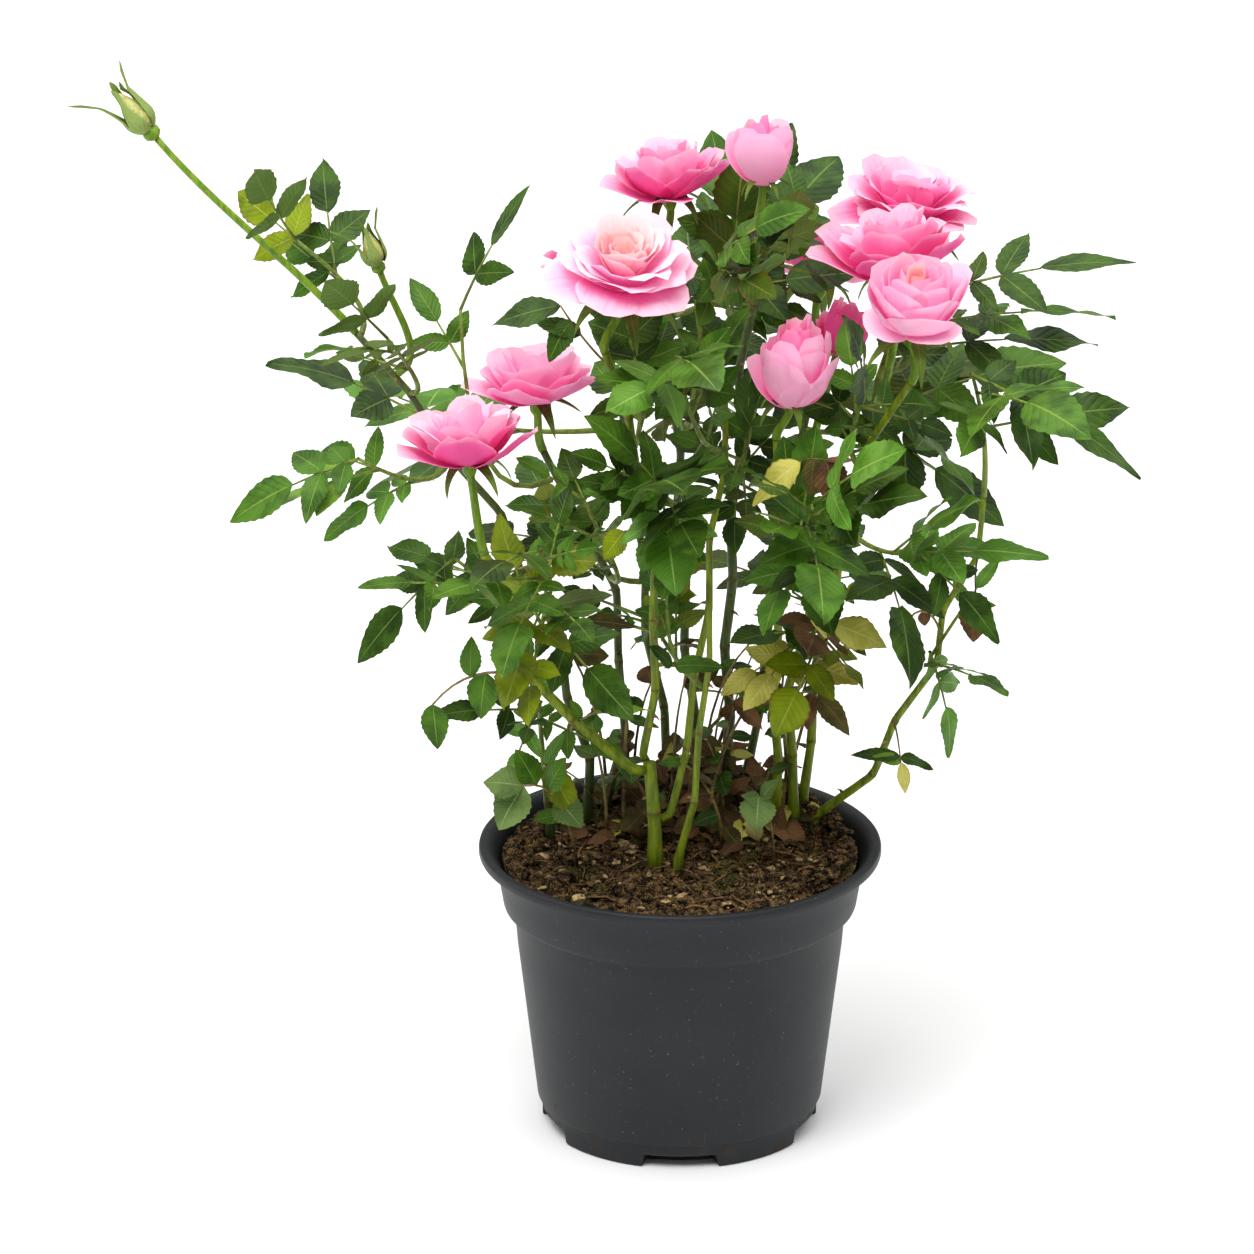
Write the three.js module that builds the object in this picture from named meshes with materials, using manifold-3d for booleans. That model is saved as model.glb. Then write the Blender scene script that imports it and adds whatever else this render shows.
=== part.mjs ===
// Potted miniature rose bush, in millimetres, +Z up, front towards -Y.
// The origin is the middle of the pot's flat underside. Four rooted cuttings stand in the pot,
// each a clump of tapering canes. Side shoots with pinnate leaves grow from the canes, and
// blooms and buds stand on the canes' tips.
import * as THREE from 'three';
import { mergeVertices } from 'three/addons/utils/BufferGeometryUtils.js';
import Module from 'manifold-3d';

const wasm = await Module();
wasm.setup();

// ---------------------------------------------------------------- driving dimensions

const CLEAR = 0.3;                 // gap kept between separate solids that meet
const DEG = Math.PI / 180;

const POT = {
  height: 96, sides: 32, wall: 1.7, floor: 6,
  lipRadius: 65, lipHeight: 3.6,
  bandTop: 60.3, bandBottom: 57, bandDrop: 20.7,
  bodyTop: 53.8, bodyBottom: 46.3,
  footRadius: 44.7, footHeight: 9,
  notches: 5, notchHalfAngle: 15.5 * DEG, notchHeight: 4.2, notchDepth: 7, notchBelow: 2,
};

const SOIL = {
  level: 90.5, rings: [0.97, 0.74, 0.48, 0.22],
  // heaps: middle x, y, spread and height
  heaps: [[8, 34, 24, 10], [-8, -15, 13, 2.5], [35, 18, 12, 1.8]],
  lump: 0.5, lumpPitch: 9, edgeFall: 2.5, footClear: 0.6,
};

// internode: length from node to node, firstRise: how far a cane goes straight out at its foot,
// edgeClear: more room under a limb's foot, where an edge of the cane may stand up.
const CANE = {
  sides: 6, internode: 24, firstRise: 3, coreStep: 2.5, beyond: 10, edgeClear: 0.15, seed: 500,
};

// leafy: the share of a shoot's stem, back from its end, that carries leaves.
const TWIG = { sides: 3, radius: [1.15, 0.6], segments: 2, frameSteps: 20, leafy: 0.62 };

// A leaf: a stalk with a pair of leaflets and one at its end, on a surface that droops away from
// its middle line. Lengths are shares of the end leaflet's length.
const LEAF = {
  stalk: 0.92, stalkWidth: 1.2, pairAt: 0.6, pairSize: 0.86, pairAngle: 60 * DEG,
  width: 0.74, widestAt: 0.45, thickness: 0.9, droop: 0.17, sideDroop: 0.2,
  // The way leaves face: towards the light, outwards from the pot's middle, and a turn of their own.
  light: [-0.1, -0.5, 1], outwards: 1 / 150, roll: 50 * DEG,
  endSpread: 20 * DEG, goldenAngle: 137.5 * DEG, rootSunk: 0.6,
  // How leaves are tried for room: the sizes, spreads and turns, and the steepest way down.
  sizesTried: [1, 0.86, 0.74, 0.62], spreadsTried: [58 * DEG, 84 * DEG, 34 * DEG], turnsTried: 8,
  steepest: -0.45, cellGap: 0.6, limbGap: 0.8, lowest: 105,
};

const BLOOM = {
  sides: 10, petals: 5, scallop: 0.07, skirt: 1.5,
  stalkRadius: [1.5, 1.25], budStalkRadius: [1.3, 1], stalkSides: 5, stalkSegments: 3,
  // Leaves leave blooms open to the front or the back: how high the way points, its length, and
  // the width below which a bloom has none.
  outlook: 20 * DEG, openWay: 90, smallest: 20,
};

// Canes. foot: [x, y] in the soil, or the cane and share of its length that it forks from.
// tip: its end. bow: how far it swings out half way up. lean: under 1 it leans out at once,
// over 1 it rises first. radius: at the foot and the tip. kink: zigzag from node to node.
const CANES = {
  cane_front_cut: {
    foot: [-8, -16], tip: [-10, -14, 129], bow: [0, 0], lean: 1, radius: [2.3, 2.1], kink: 0.4,
  },
  cane_front_left: {
    fork: ['cane_front_cut', 0.93], tip: [-62, -31, 206],
    bow: [-9, 1], lean: 0.75, radius: [1.8, 1.5], kink: 1.6,
  },
  cane_front_bloom: {
    fork: ['cane_front_cut', 0.99, [-0.5, 1]], tip: [-24, -28, 272],
    bow: [5, 4], lean: 2, radius: [1.4, 1.3], kink: 0.9,
  },
  cane_front_right: {
    fork: ['cane_front_cut', 0.42, [1, 0.4]], tip: [14, 6, 246],
    bow: [1, -4], lean: 0.6, radius: [1.35, 1], kink: 1.4,
  },
  cane_front_dry: {
    foot: [-1, -19], tip: [9, -24, 190], bow: [2, 0], lean: 0.8, radius: [1.3, 0.9], kink: 0.8,
  },
  cane_right_straight: {
    foot: [31, 14], tip: [30, -13, 238], bow: [0, 0], lean: 1.1, radius: [1.6, 1.2], kink: 0.8,
  },
  cane_right_front: {
    foot: [37, 17], tip: [72, -17, 258], bow: [-8, 3], lean: 1.5, radius: [1.65, 1.2], kink: 1.5,
  },
  cane_right_back: {
    foot: [40, 26], tip: [72, 48, 262], bow: [-2, 2], lean: 1.3, radius: [1.6, 1.2], kink: 1.2,
  },
  cane_right_low: {
    foot: [43, 15], tip: [96, -6, 216], bow: [7, 0], lean: 0.8, radius: [1.45, 0.9], kink: 2.6,
  },
  cane_left_long: {
    foot: [-30, 24], tip: [-103, 9, 266], bow: [7, 3], lean: 1.5, radius: [1.6, 1.1], kink: 1.8,
  },
  cane_left_bloom: {
    foot: [-24, 30], tip: [-44, 22, 222], bow: [9, 3], lean: 2.2, radius: [1.5, 1.2], kink: 1.4,
  },
  cane_left_stub: {
    foot: [-42, 15], tip: [-44, 13, 116], bow: [0, 0], lean: 1, radius: [1.3, 1.1], kink: 0.2,
  },
  cane_back_middle: {
    foot: [15, 40], tip: [24, 30, 292], bow: [-2, 3], lean: 1, radius: [1.8, 1.3], kink: 1.3,
  },
  cane_back_left: {
    foot: [5, 43], tip: [-5, 48, 280], bow: [0, 4], lean: 1, radius: [1.6, 1.2], kink: 1.2,
  },
  cane_far_right: {
    foot: [22, 48], tip: [44, 82, 240], bow: [2, 3], lean: 1.2, radius: [1.5, 1.2], kink: 1.4,
  },
  cane_far_left: {
    foot: [-4, 50], tip: [-24, 80, 240], bow: [0, 5], lean: 1.2, radius: [1.5, 1.2], kink: 1.4,
  },
};

// Blooms and buds, each at the tip of a cane or forking from it. centre: middle of the bloom,
// face: the way it looks, width: across, kind: how far it has opened.
const FLOWERS = {
  flower_front: {
    cane: 'cane_front_bloom', centre: [-18, -31, 302],
    face: [0.05, -0.3, 0.95], width: 48, kind: 'open',
  },
  flower_back_left: {
    cane: 'cane_back_left', centre: [-5, 48, 307],
    face: [-0.15, -0.1, 1], width: 36, kind: 'open',
  },
  flower_top: {
    cane: 'cane_back_middle', centre: [26, 26, 320],
    face: [0, -0.12, 1], width: 23, kind: 'cup',
  },
  flower_right_back: {
    cane: 'cane_right_back', centre: [73, 56, 296],
    face: [0.1, -0.02, 1], width: 47, kind: 'open',
  },
  flower_right_middle: {
    cane: 'cane_right_back', at: 0.8, centre: [67, 9, 294],
    face: [-0.1, -0.15, 1], width: 42, kind: 'open',
  },
  flower_right_front: {
    cane: 'cane_right_front', centre: [73, -30, 290],
    face: [0.02, -0.45, 0.9], width: 40, kind: 'cup',
  },
  flower_middle: {
    cane: 'cane_right_straight', centre: [35, -20, 263],
    face: [0.05, -0.35, 1], width: 31, kind: 'cup',
  },
  flower_left_front: {
    cane: 'cane_front_left', centre: [-68, -37, 245],
    face: [-0.15, -0.35, 1], width: 37, kind: 'open',
  },
  flower_left_back: {
    cane: 'cane_left_bloom', centre: [-47, 19, 248],
    face: [-0.1, -0.05, 1], width: 37, kind: 'open',
  },
  flower_hidden: {
    cane: 'cane_right_straight', at: 0.78, centre: [52, 24, 262],
    face: [0.3, 0.2, 1], width: 19, kind: 'cup',
  },
  flower_far_right: {
    cane: 'cane_far_right', centre: [47, 90, 266],
    face: [0.15, 0.5, 0.85], width: 42, kind: 'open',
  },
  flower_far_left: {
    cane: 'cane_far_left', centre: [-22, 86, 267],
    face: [-0.1, 0.45, 0.87], width: 36, kind: 'open',
  },
  bud_long: {
    cane: 'cane_left_long', centre: [-171, 14, 336],
    face: [-0.62, 0, 0.78], width: 9.5, kind: 'bud',
  },
  bud_small: {
    cane: 'cane_left_long', at: 0.9, centre: [-97, 2, 295],
    face: [-0.3, -0.1, 1], width: 7.5, kind: 'bud',
  },
};

// Foliage masses: one side shoot each. It leaves a cane at a share of its length and ends at its
// heart, the middle of its own space. size: length of an end leaflet. seed: deals out the turns.
// aim: the way its end leaf points, where that shows.
const MASSES = {
  foliage_front_top: {
    cane: 'cane_front_right', at: 0.88, heart: [-2, -35, 273],
    leaves: 5, size: 30, aim: [0.95, -0.2, 0.35], seed: 214,
  },
  foliage_front_middle: {
    cane: 'cane_front_right', at: 0.74, heart: [-8, -45, 233],
    leaves: 5, size: 29, seed: 26,
  },
  foliage_front_right: {
    cane: 'cane_right_straight', at: 0.74, heart: [41, -47, 228],
    leaves: 4, size: 28, seed: 78,
  },
  foliage_front_left: {
    cane: 'cane_front_left', at: 0.7, heart: [-44, -52, 215],
    leaves: 4, size: 27, seed: 209,
  },
  foliage_core: {
    cane: 'cane_back_middle', at: 0.56, heart: [21, 10, 227],
    leaves: 5, size: 26, seed: 168,
  },
  foliage_top: {
    cane: 'cane_back_middle', at: 0.86, heart: [12, -3, 296],
    leaves: 5, size: 28, seed: 123,
  },
  foliage_top_right: {
    cane: 'cane_back_middle', at: 0.94, heart: [38, 30, 293],
    leaves: 3, size: 26, aim: [0.2, 0, 1], seed: 27,
  },
  foliage_upper_left: {
    cane: 'cane_left_bloom', at: 0.82, heart: [-14, 8, 255],
    leaves: 5, size: 27, seed: 85,
  },
  foliage_right_upper: {
    cane: 'cane_right_back', at: 0.88, heart: [88, 20, 278],
    leaves: 3, size: 34, aim: [1, 0, 0.3], seed: 2,
  },
  foliage_right_tip: {
    cane: 'cane_right_low', at: 1, heart: [91, -23, 263],
    leaves: 4, size: 33, aim: [1, -0.1, -0.42], seed: 211,
  },
  foliage_right_middle: {
    cane: 'cane_right_front', at: 0.78, heart: [58, -4, 249],
    leaves: 5, size: 27, seed: 136,
  },
  foliage_right_droop: {
    cane: 'cane_right_front', at: 0.66, heart: [75, -30, 206],
    leaves: 4, size: 32, aim: [0.75, -0.3, -0.6], seed: 251,
  },
  foliage_right_yellow: {
    cane: 'cane_right_front', at: 0.5, heart: [44, -19, 173],
    leaves: 4, size: 25, seed: 242,
  },
  foliage_right_low: {
    cane: 'cane_right_low', at: 0.54, heart: [80, -5, 163],
    leaves: 2, size: 22, aim: [0.35, 0, -1], seed: 286,
  },
  foliage_left_tip: {
    cane: 'cane_left_long', at: 0.99, heart: [-122, 12, 296],
    leaves: 4, size: 25, aim: [-0.85, -0.1, 0.5], seed: 10,
  },
  foliage_left_upper: {
    cane: 'cane_left_long', at: 0.86, heart: [-93, -7, 270],
    leaves: 4, size: 26, aim: [-0.1, -0.2, -0.9], seed: 120,
  },
  foliage_left_crest: {
    cane: 'cane_left_bloom', at: 0.92, heart: [-70, 12, 273],
    leaves: 4, size: 26, aim: [0.35, 0, 0.9], seed: 18,
  },
  foliage_left_side: {
    cane: 'cane_left_long', at: 0.72, heart: [-102, -20, 234],
    leaves: 4, size: 25, aim: [-1, 0, -0.35], seed: 33,
  },
  foliage_left_low: {
    cane: 'cane_front_left', at: 0.56, heart: [-72, -18, 200],
    leaves: 4, size: 26, aim: [-0.7, -0.1, -0.6], seed: 169,
  },
  foliage_left_foot: {
    cane: 'cane_left_stub', at: 1, heart: [-45, -5, 146],
    leaves: 4, size: 24, aim: [-0.4, -0.1, -0.8], seed: 55,
  },
  foliage_left_inner: {
    cane: 'cane_left_bloom', at: 0.62, heart: [-31, -8, 216],
    leaves: 5, size: 27, seed: 198,
  },
  foliage_low_middle: {
    cane: 'cane_front_dry', at: 0.66, heart: [-10, 8, 171],
    leaves: 5, size: 24, seed: 91,
  },
  foliage_back_left: {
    cane: 'cane_far_left', at: 0.8, heart: [-82, 54, 222],
    leaves: 4, size: 29, seed: 53,
  },
  foliage_back_middle: {
    cane: 'cane_back_left', at: 0.62, heart: [7, 82, 244],
    leaves: 4, size: 29, seed: 264,
  },
  foliage_back_right: {
    cane: 'cane_far_right', at: 0.8, heart: [70, 59, 225],
    leaves: 4, size: 30, seed: 27,
  },
  foliage_back_top: {
    cane: 'cane_back_left', at: 0.88, heart: [25, 63, 273],
    leaves: 4, size: 28, seed: 90,
  },
  foliage_back_foot_left: {
    cane: 'cane_far_left', at: 0.45, heart: [-39, 60, 181],
    leaves: 4, size: 26, seed: 57,
  },
  foliage_back_foot_right: {
    cane: 'cane_far_right', at: 0.42, heart: [37, 68, 167],
    leaves: 4, size: 26, seed: 233,
  },
};

const COLOURS = {
  pot: 0x3a3e42, soil: 0x3b2a1f, cane: 0x6d8a33, leaf: 0x35692f,
  bloom: 0xf08cc0, bud: 0x8fa04a,
};

// ---------------------------------------------------------------- helpers

const vec = (xyz) => new THREE.Vector3(...xyz);
const UP = vec([0, 0, 1]);
const FIRST_LIFT = vec([0.3, -0.8, 0.5]);

// A stream of numbers from 0 to 1 that is the same on each run.
function seeded(seed) {
  let state = (seed * 48271 + 11) % 2147483647;
  return () => {
    state = (state * 16807) % 2147483647;
    return state / 2147483647;
  };
}

function solidOf(geometry) {
  const bare = geometry.index ? geometry.toNonIndexed() : geometry.clone();
  bare.deleteAttribute('normal');
  bare.deleteAttribute('uv');
  const merged = mergeVertices(bare, 1e-4);
  return new wasm.Manifold(new wasm.Mesh({
    numProp: 3,
    vertProperties: new Float32Array(merged.attributes.position.array),
    triVerts: new Uint32Array(merged.index.array),
  }));
}

// The largest connected piece of a solid, which drops loose scraps.
function largestPiece(solid) {
  return solid.decompose().reduce((best, piece) => (piece.volume() > best.volume() ? piece : best));
}

function geometryOf(solid) {
  const mesh = solid.getMesh();
  const geometry = new THREE.BufferGeometry();
  geometry.setAttribute('position', new THREE.BufferAttribute(new Float32Array(mesh.vertProperties), 3));
  geometry.setIndex(new THREE.BufferAttribute(new Uint32Array(mesh.triVerts), 1));
  geometry.computeVertexNormals();
  return geometry;
}

const fuse = (geometries) => geometries.map(solidOf).reduce((whole, piece) => whole.add(piece));

function addPart(group, name, geometry, colour, roughness) {
  const material = new THREE.MeshStandardMaterial({ color: colour, roughness, metalness: 0 });
  const mesh = new THREE.Mesh(geometry, material);
  mesh.name = name;
  group.add(mesh);
  return mesh;
}

const evenShares = (count) => Array.from({ length: count + 1 }, (_, i) => i / count);

// Places and frames along a curve, each frame turned as little as can be from the last.
function framesAlong(curve, shares) {
  let lift = FIRST_LIFT;
  return shares.map((share) => {
    const frame = frameFrom(curve.getTangent(share), lift);
    lift = frame.z;
    return { ...frame, point: curve.getPoint(share) };
  });
}

// A closed tapering tube along a curve: a cylinder whose rings are moved to shares of the curve.
function taperedTube(curve, radii, sides, shares) {
  const segments = shares.length - 1;
  const tube = new THREE.CylinderGeometry(1, 1, 1, sides, segments);
  const frames = framesAlong(curve, shares);
  const place = tube.attributes.position;
  for (let i = 0; i < place.count; i += 1) {
    const ring = Math.round((0.5 - place.getY(i)) * segments);
    const radius = THREE.MathUtils.lerp(radii[0], radii[1], shares[ring]);
    const [across, up] = [place.getX(i) * radius, place.getZ(i) * radius];
    const point = inFrame(frames[ring].point, frames[ring], 0, across, up);
    place.setXYZ(i, point.x, point.y, point.z);
  }
  return outwards(tube);
}

// Turns a closed geometry's triangles round if they face inwards.
function outwards(geometry) {
  const place = geometry.attributes.position;
  const index = geometry.index;
  const corner = [0, 1, 2].map(() => new THREE.Vector3());
  let volume = 0;
  for (let i = 0; i < index.count; i += 3) {
    corner.forEach((point, k) => point.fromBufferAttribute(place, index.getX(i + k)));
    volume += corner[0].dot(corner[1].clone().cross(corner[2]));
  }
  if (volume < 0) {
    for (let i = 0; i < index.count; i += 3) {
      const first = index.getX(i);
      index.setX(i, index.getX(i + 1));
      index.setX(i + 1, first);
    }
  }
  return geometry;
}

// A frame whose first axis is along, with its third as near to lift as it can be.
function frameFrom(along, lift) {
  const x = along.clone().normalize();
  const y = lift.clone().cross(x).normalize();
  return { x, y, z: x.clone().cross(y) };
}

const inFrame = (origin, frame, a, b, c) => origin.clone()
  .addScaledVector(frame.x, a).addScaledVector(frame.y, b).addScaledVector(frame.z, c);

// ---------------------------------------------------------------- pot and soil

const bandBase = POT.height - POT.bandDrop;

// Inner radius of the pot's wall at a height.
function innerRadius(z) {
  const low = POT.footHeight;
  if (z < bandBase) {
    return THREE.MathUtils.mapLinear(z, low, bandBase, POT.bodyBottom, POT.bodyTop) - POT.wall;
  }
  return THREE.MathUtils.mapLinear(z, bandBase, POT.height, POT.bandBottom, POT.bandTop) - POT.wall;
}

function potGeometry() {
  const top = POT.height;
  const lipBase = top - POT.lipHeight;
  const profile = [
    [0, 0], [POT.footRadius, 0], [POT.footRadius, POT.footHeight - 1],
    [POT.bodyBottom, POT.footHeight], [POT.bodyTop, bandBase - 1], [POT.bandBottom, bandBase + 0.6],
    [POT.bandTop, lipBase], [POT.lipRadius, lipBase + 0.4], [POT.lipRadius, top - 0.8],
    [POT.lipRadius - 0.8, top], [innerRadius(top), top], [innerRadius(bandBase + 1), bandBase + 1],
    [innerRadius(bandBase - 1), bandBase - 1], [innerRadius(POT.floor), POT.floor], [0, POT.floor],
  ];
  const lathe = new THREE.LatheGeometry(profile.map(([r, z]) => new THREE.Vector2(r, z)), POT.sides);
  lathe.rotateX(Math.PI / 2);
  let pot = solidOf(outwards(lathe));
  for (let i = 0; i < POT.notches; i += 1) {
    const middle = -Math.PI / 2 + i * 2 * Math.PI / POT.notches;
    pot = pot.subtract(solidOf(notchGeometry(middle)));
  }
  return geometryOf(pot);
}

// The wedge cut from under the pot's edge at an angle, which leaves a foot on either side.
function notchGeometry(middle) {
  const wedge = new THREE.Shape();
  const [from, to] = [middle - POT.notchHalfAngle, middle + POT.notchHalfAngle];
  wedge.absarc(0, 0, POT.footRadius + 5, from, to, false);
  wedge.absarc(0, 0, POT.footRadius - POT.notchDepth, to, from, true);
  wedge.closePath();
  const depth = POT.notchHeight + POT.notchBelow;
  const notch = new THREE.ExtrudeGeometry(wedge, { depth, bevelEnabled: false, curveSegments: 5 });
  return notch.translate(0, 0, -POT.notchBelow);
}

// Height of the compost: a level with heaps, small lumps and a fall to the pot's wall.
function soilHeight(x, y) {
  let height = SOIL.level;
  for (const [mx, my, spread, rise] of SOIL.heaps) {
    height += rise * Math.exp(-((x - mx) ** 2 + (y - my) ** 2) / (2 * spread ** 2));
  }
  height += SOIL.lump * Math.sin(x / SOIL.lumpPitch * 2.1 + 1) * Math.cos(y / SOIL.lumpPitch * 1.7);
  return height - SOIL.edgeFall * (Math.hypot(x, y) / innerRadius(SOIL.level)) ** 8;
}

function soilGeometry() {
  const wide = innerRadius(SOIL.level - 4) - 2 * CLEAR;
  const profile = [
    [0, POT.floor + CLEAR], [innerRadius(POT.floor) - 0.6, POT.floor + CLEAR],
    [innerRadius(bandBase - 1) - 2 * CLEAR, bandBase - 0.5],
    [innerRadius(bandBase + 1) - 2 * CLEAR, bandBase + 1.8],
    [wide, SOIL.level - 4],
    ...SOIL.rings.map((share) => [wide * share, SOIL.level]), [0, SOIL.level],
  ];
  const lathe = new THREE.LatheGeometry(profile.map(([r, z]) => new THREE.Vector2(r, z)), POT.sides);
  lathe.rotateX(Math.PI / 2);
  const place = lathe.attributes.position;
  for (let i = 0; i < place.count; i += 1) {
    if (place.getZ(i) > SOIL.level - 1) {
      place.setZ(i, soilHeight(place.getX(i), place.getY(i)));
    }
  }
  return geometryOf(solidOf(outwards(lathe)));
}

// ---------------------------------------------------------------- canes

// Where a shoot leaves a cane for its aim, clear of the cane's faces, and the way it sets off.
function leavePoint(cane, at, aim) {
  const point = cane.curve.getPoint(at);
  const tangent = cane.curve.getTangent(at);
  if (at >= 1) {
    return { start: point.addScaledVector(tangent, CLEAR), way: tangent };
  }
  const side = aim.clone().sub(point).projectOnPlane(tangent).normalize();
  const outer = point.clone().addScaledVector(side, CANE.beyond);
  const ray = new THREE.Raycaster(outer, side.clone().negate());
  const [surface] = ray.intersectObject(cane.mesh);
  return { start: surface.point.addScaledVector(side, CLEAR + CANE.edgeClear), way: side };
}

// A cane's curve goes from node to node, each a little to the left or right of the last.
function growCane(sizes, canes, seed) {
  const tip = vec(sizes.tip);
  const { start: foot, way } = sizes.fork
    ? forkStart(sizes.fork, canes, tip)
    : soilStart(sizes.foot);
  const nodes = Math.max(2, Math.round(foot.distanceTo(tip) / CANE.internode));
  const random = seeded(seed);
  const points = [foot];
  for (let i = 1; i <= nodes; i += 1) {
    const share = i / nodes;
    const lean = share ** sizes.lean;
    const swing = Math.sin(Math.PI * share);
    const zigzag = i < nodes ? sizes.kink * (i % 2 ? 1 : -1) * (0.6 + 0.8 * random()) : 0;
    points.push(new THREE.Vector3(
      THREE.MathUtils.lerp(foot.x, tip.x, lean) + sizes.bow[0] * swing + zigzag,
      THREE.MathUtils.lerp(foot.y, tip.y, lean) + sizes.bow[1] * swing + zigzag * (random() - 0.5),
      THREE.MathUtils.lerp(foot.z, tip.z, share),
    ));
  }
  points.splice(1, 0, foot.clone().addScaledVector(way, CANE.firstRise));
  return { ...straightRun(points), radius: sizes.radius, flat: !sizes.fork };
}

// A curve that runs straight from point to point, and each point's share of its length.
function straightRun(points) {
  const curve = new THREE.CurvePath();
  points.slice(1).forEach((point, i) => curve.add(new THREE.LineCurve3(points[i], point)));
  const lengths = curve.getCurveLengths();
  return { curve, shares: [0, ...lengths.map((length) => length / lengths.at(-1))] };
}

const soilStart = ([x, y]) => ({ start: vec([x, y, soilHeight(x, y) + SOIL.footClear]), way: UP });

// The start of a cane that forks from another, towards its tip or the way that is given.
function forkStart([name, at, way], canes, tip) {
  const aim = way ? canes[name].curve.getPoint(at).add(vec([...way, 0])) : tip;
  return leavePoint(canes[name], at, aim);
}

function caneGeometry(cane) {
  const tube = taperedTube(cane.curve, cane.radius, CANE.sides, cane.shares);
  if (cane.flat) {
    flattenFoot(tube, cane.curve.getPoint(0).z);
  }
  return geometryOf(solidOf(tube));
}

// Levels the first ring of a cane, as it is cut flat at the soil.
function flattenFoot(tube, level) {
  const place = tube.attributes.position;
  for (let i = 0; i < place.count; i += 1) {
    if (place.getZ(i) < level + 0.6 * CANE.firstRise) {
      place.setZ(i, level);
    }
  }
}

// ---------------------------------------------------------------- blooms and buds

// Outlines from the hip to the middle of the face, as shares of the width: radius and height.
const BLOOM_OUTLINES = {
  open: [
    [0, -0.34], [0.1, -0.33], [0.14, -0.2], [0.38, -0.07], [0.5, 0.05],
    [0.38, 0.1], [0.34, 0.2], [0.16, 0.17], [0, 0.1],
  ],
  cup: [
    [0, -0.5], [0.11, -0.49], [0.15, -0.36], [0.42, -0.2], [0.5, 0.08],
    [0.46, 0.36], [0.3, 0.3], [0.16, 0.38], [0, 0.24],
  ],
  bud: [[0, -0.95], [0.26, -0.9], [0.3, -0.5], [0.5, -0.1], [0.36, 0.5], [0.13, 0.95], [0, 1.05]],
};
const HIP_DEPTH = { open: 0.34, cup: 0.5, bud: 0.95 };

// Room that leaves keep clear of, as shares of the width: across and along the face.
const BLOOM_ROOM = { open: [0.56, 0.38], cup: [0.56, 0.54], bud: [1.3, 3] };

// A bloom's body: its outline turned round, with each ring of petals set between those below it.
function bloomBody({ width, kind }) {
  const outline = BLOOM_OUTLINES[kind].map(([r, z]) => new THREE.Vector2(r * width, z * width));
  const sides = kind === 'bud' ? 6 : BLOOM.sides;
  const body = new THREE.LatheGeometry(outline, sides).rotateX(Math.PI / 2);
  const place = body.attributes.position;
  for (let i = 0; i < place.count && kind !== 'bud'; i += 1) {
    const [x, y, z] = [place.getX(i), place.getY(i), place.getZ(i)];
    const ring = i % outline.length;
    const turn = Math.floor(ring / 2) * Math.PI;
    const petal = ring < 2 ? 0 : Math.cos(BLOOM.petals * Math.atan2(y, x) + turn);
    const swell = 1 + BLOOM.scallop * petal;
    place.setXYZ(i, x * swell, y * swell, z + BLOOM.scallop * petal * Math.hypot(x, y));
  }
  return outwards(body);
}

// Sepals of a bud: turn about it, length as a share of its width, and flare.
const BUD_SEPALS = [[5 * DEG, 2.7, 0.75], [175 * DEG, 2.5, 0.3], [280 * DEG, 1.9, 0.2]];

// The long narrow sepals of a bud, which curl past its point.
function budSepals(width) {
  return BUD_SEPALS.map(([turn, reach, flare]) => {
    const out = new THREE.Vector3(Math.cos(turn), Math.sin(turn), 0);
    const along = UP.clone().addScaledVector(out, flare);
    const root = out.clone().multiplyScalar(0.3 * width).addScaledVector(UP, -0.35 * width);
    return bladeGeometry(root, frameFrom(along, out), reach * width, 0.36 * width, 1.6);
  });
}

// A thin closed blade of eight faces: an octahedron drawn out from its root to its tip.
function bladeGeometry(root, frame, length, width, thickness) {
  const geometry = new THREE.OctahedronGeometry(1, 0);
  const place = geometry.attributes.position;
  for (let i = 0; i < place.count; i += 1) {
    const [a, b, c] = [place.getX(i), place.getY(i), place.getZ(i)];
    const along = a < -0.5 ? 0 : a > 0.5 ? length : LEAF.widestAt * length;
    const point = inFrame(root, frame, along, b * width / 2, c * thickness / 2);
    place.setXYZ(i, point.x, point.y, point.z);
  }
  return geometry;
}

// A flower's stalk leaves the cane, then bends to meet the bloom's hip along its face.
function growFlower(flower, canes) {
  const centre = vec(flower.centre);
  const face = vec(flower.face).normalize();
  const hip = centre.clone().addScaledVector(face, -HIP_DEPTH[flower.kind] * flower.width);
  const radius = flower.kind === 'bud' ? BLOOM.budStalkRadius : BLOOM.stalkRadius;
  const { start, way } = leavePoint(canes[flower.cane], flower.at ?? 1, hip);
  const reach = start.distanceTo(hip);
  const curve = new THREE.CubicBezierCurve3(
    start, start.clone().addScaledVector(way, 0.35 * reach),
    hip.clone().addScaledVector(face, -0.35 * reach), hip.clone().addScaledVector(face, 1),
  );
  return { ...flower, centre, face, curve, radius };
}

function flowerGeometry(flower) {
  const turn = new THREE.Matrix4();
  const { x, y, z } = frameFrom(flower.face, UP.clone().addScaledVector(flower.face, 0.1));
  turn.makeBasis(z.negate(), y, x).setPosition(flower.centre);
  const pieces = [bloomBody(flower), ...(flower.kind === 'bud' ? budSepals(flower.width) : [])];
  const bloom = pieces.map((geometry) => geometry.applyMatrix4(turn));
  const rings = evenShares(BLOOM.stalkSegments);
  const stalk = taperedTube(flower.curve, flower.radius, BLOOM.stalkSides, rings);
  return geometryOf(largestPiece(fuse([stalk, ...bloom])));
}

// ---------------------------------------------------------------- foliage

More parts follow.
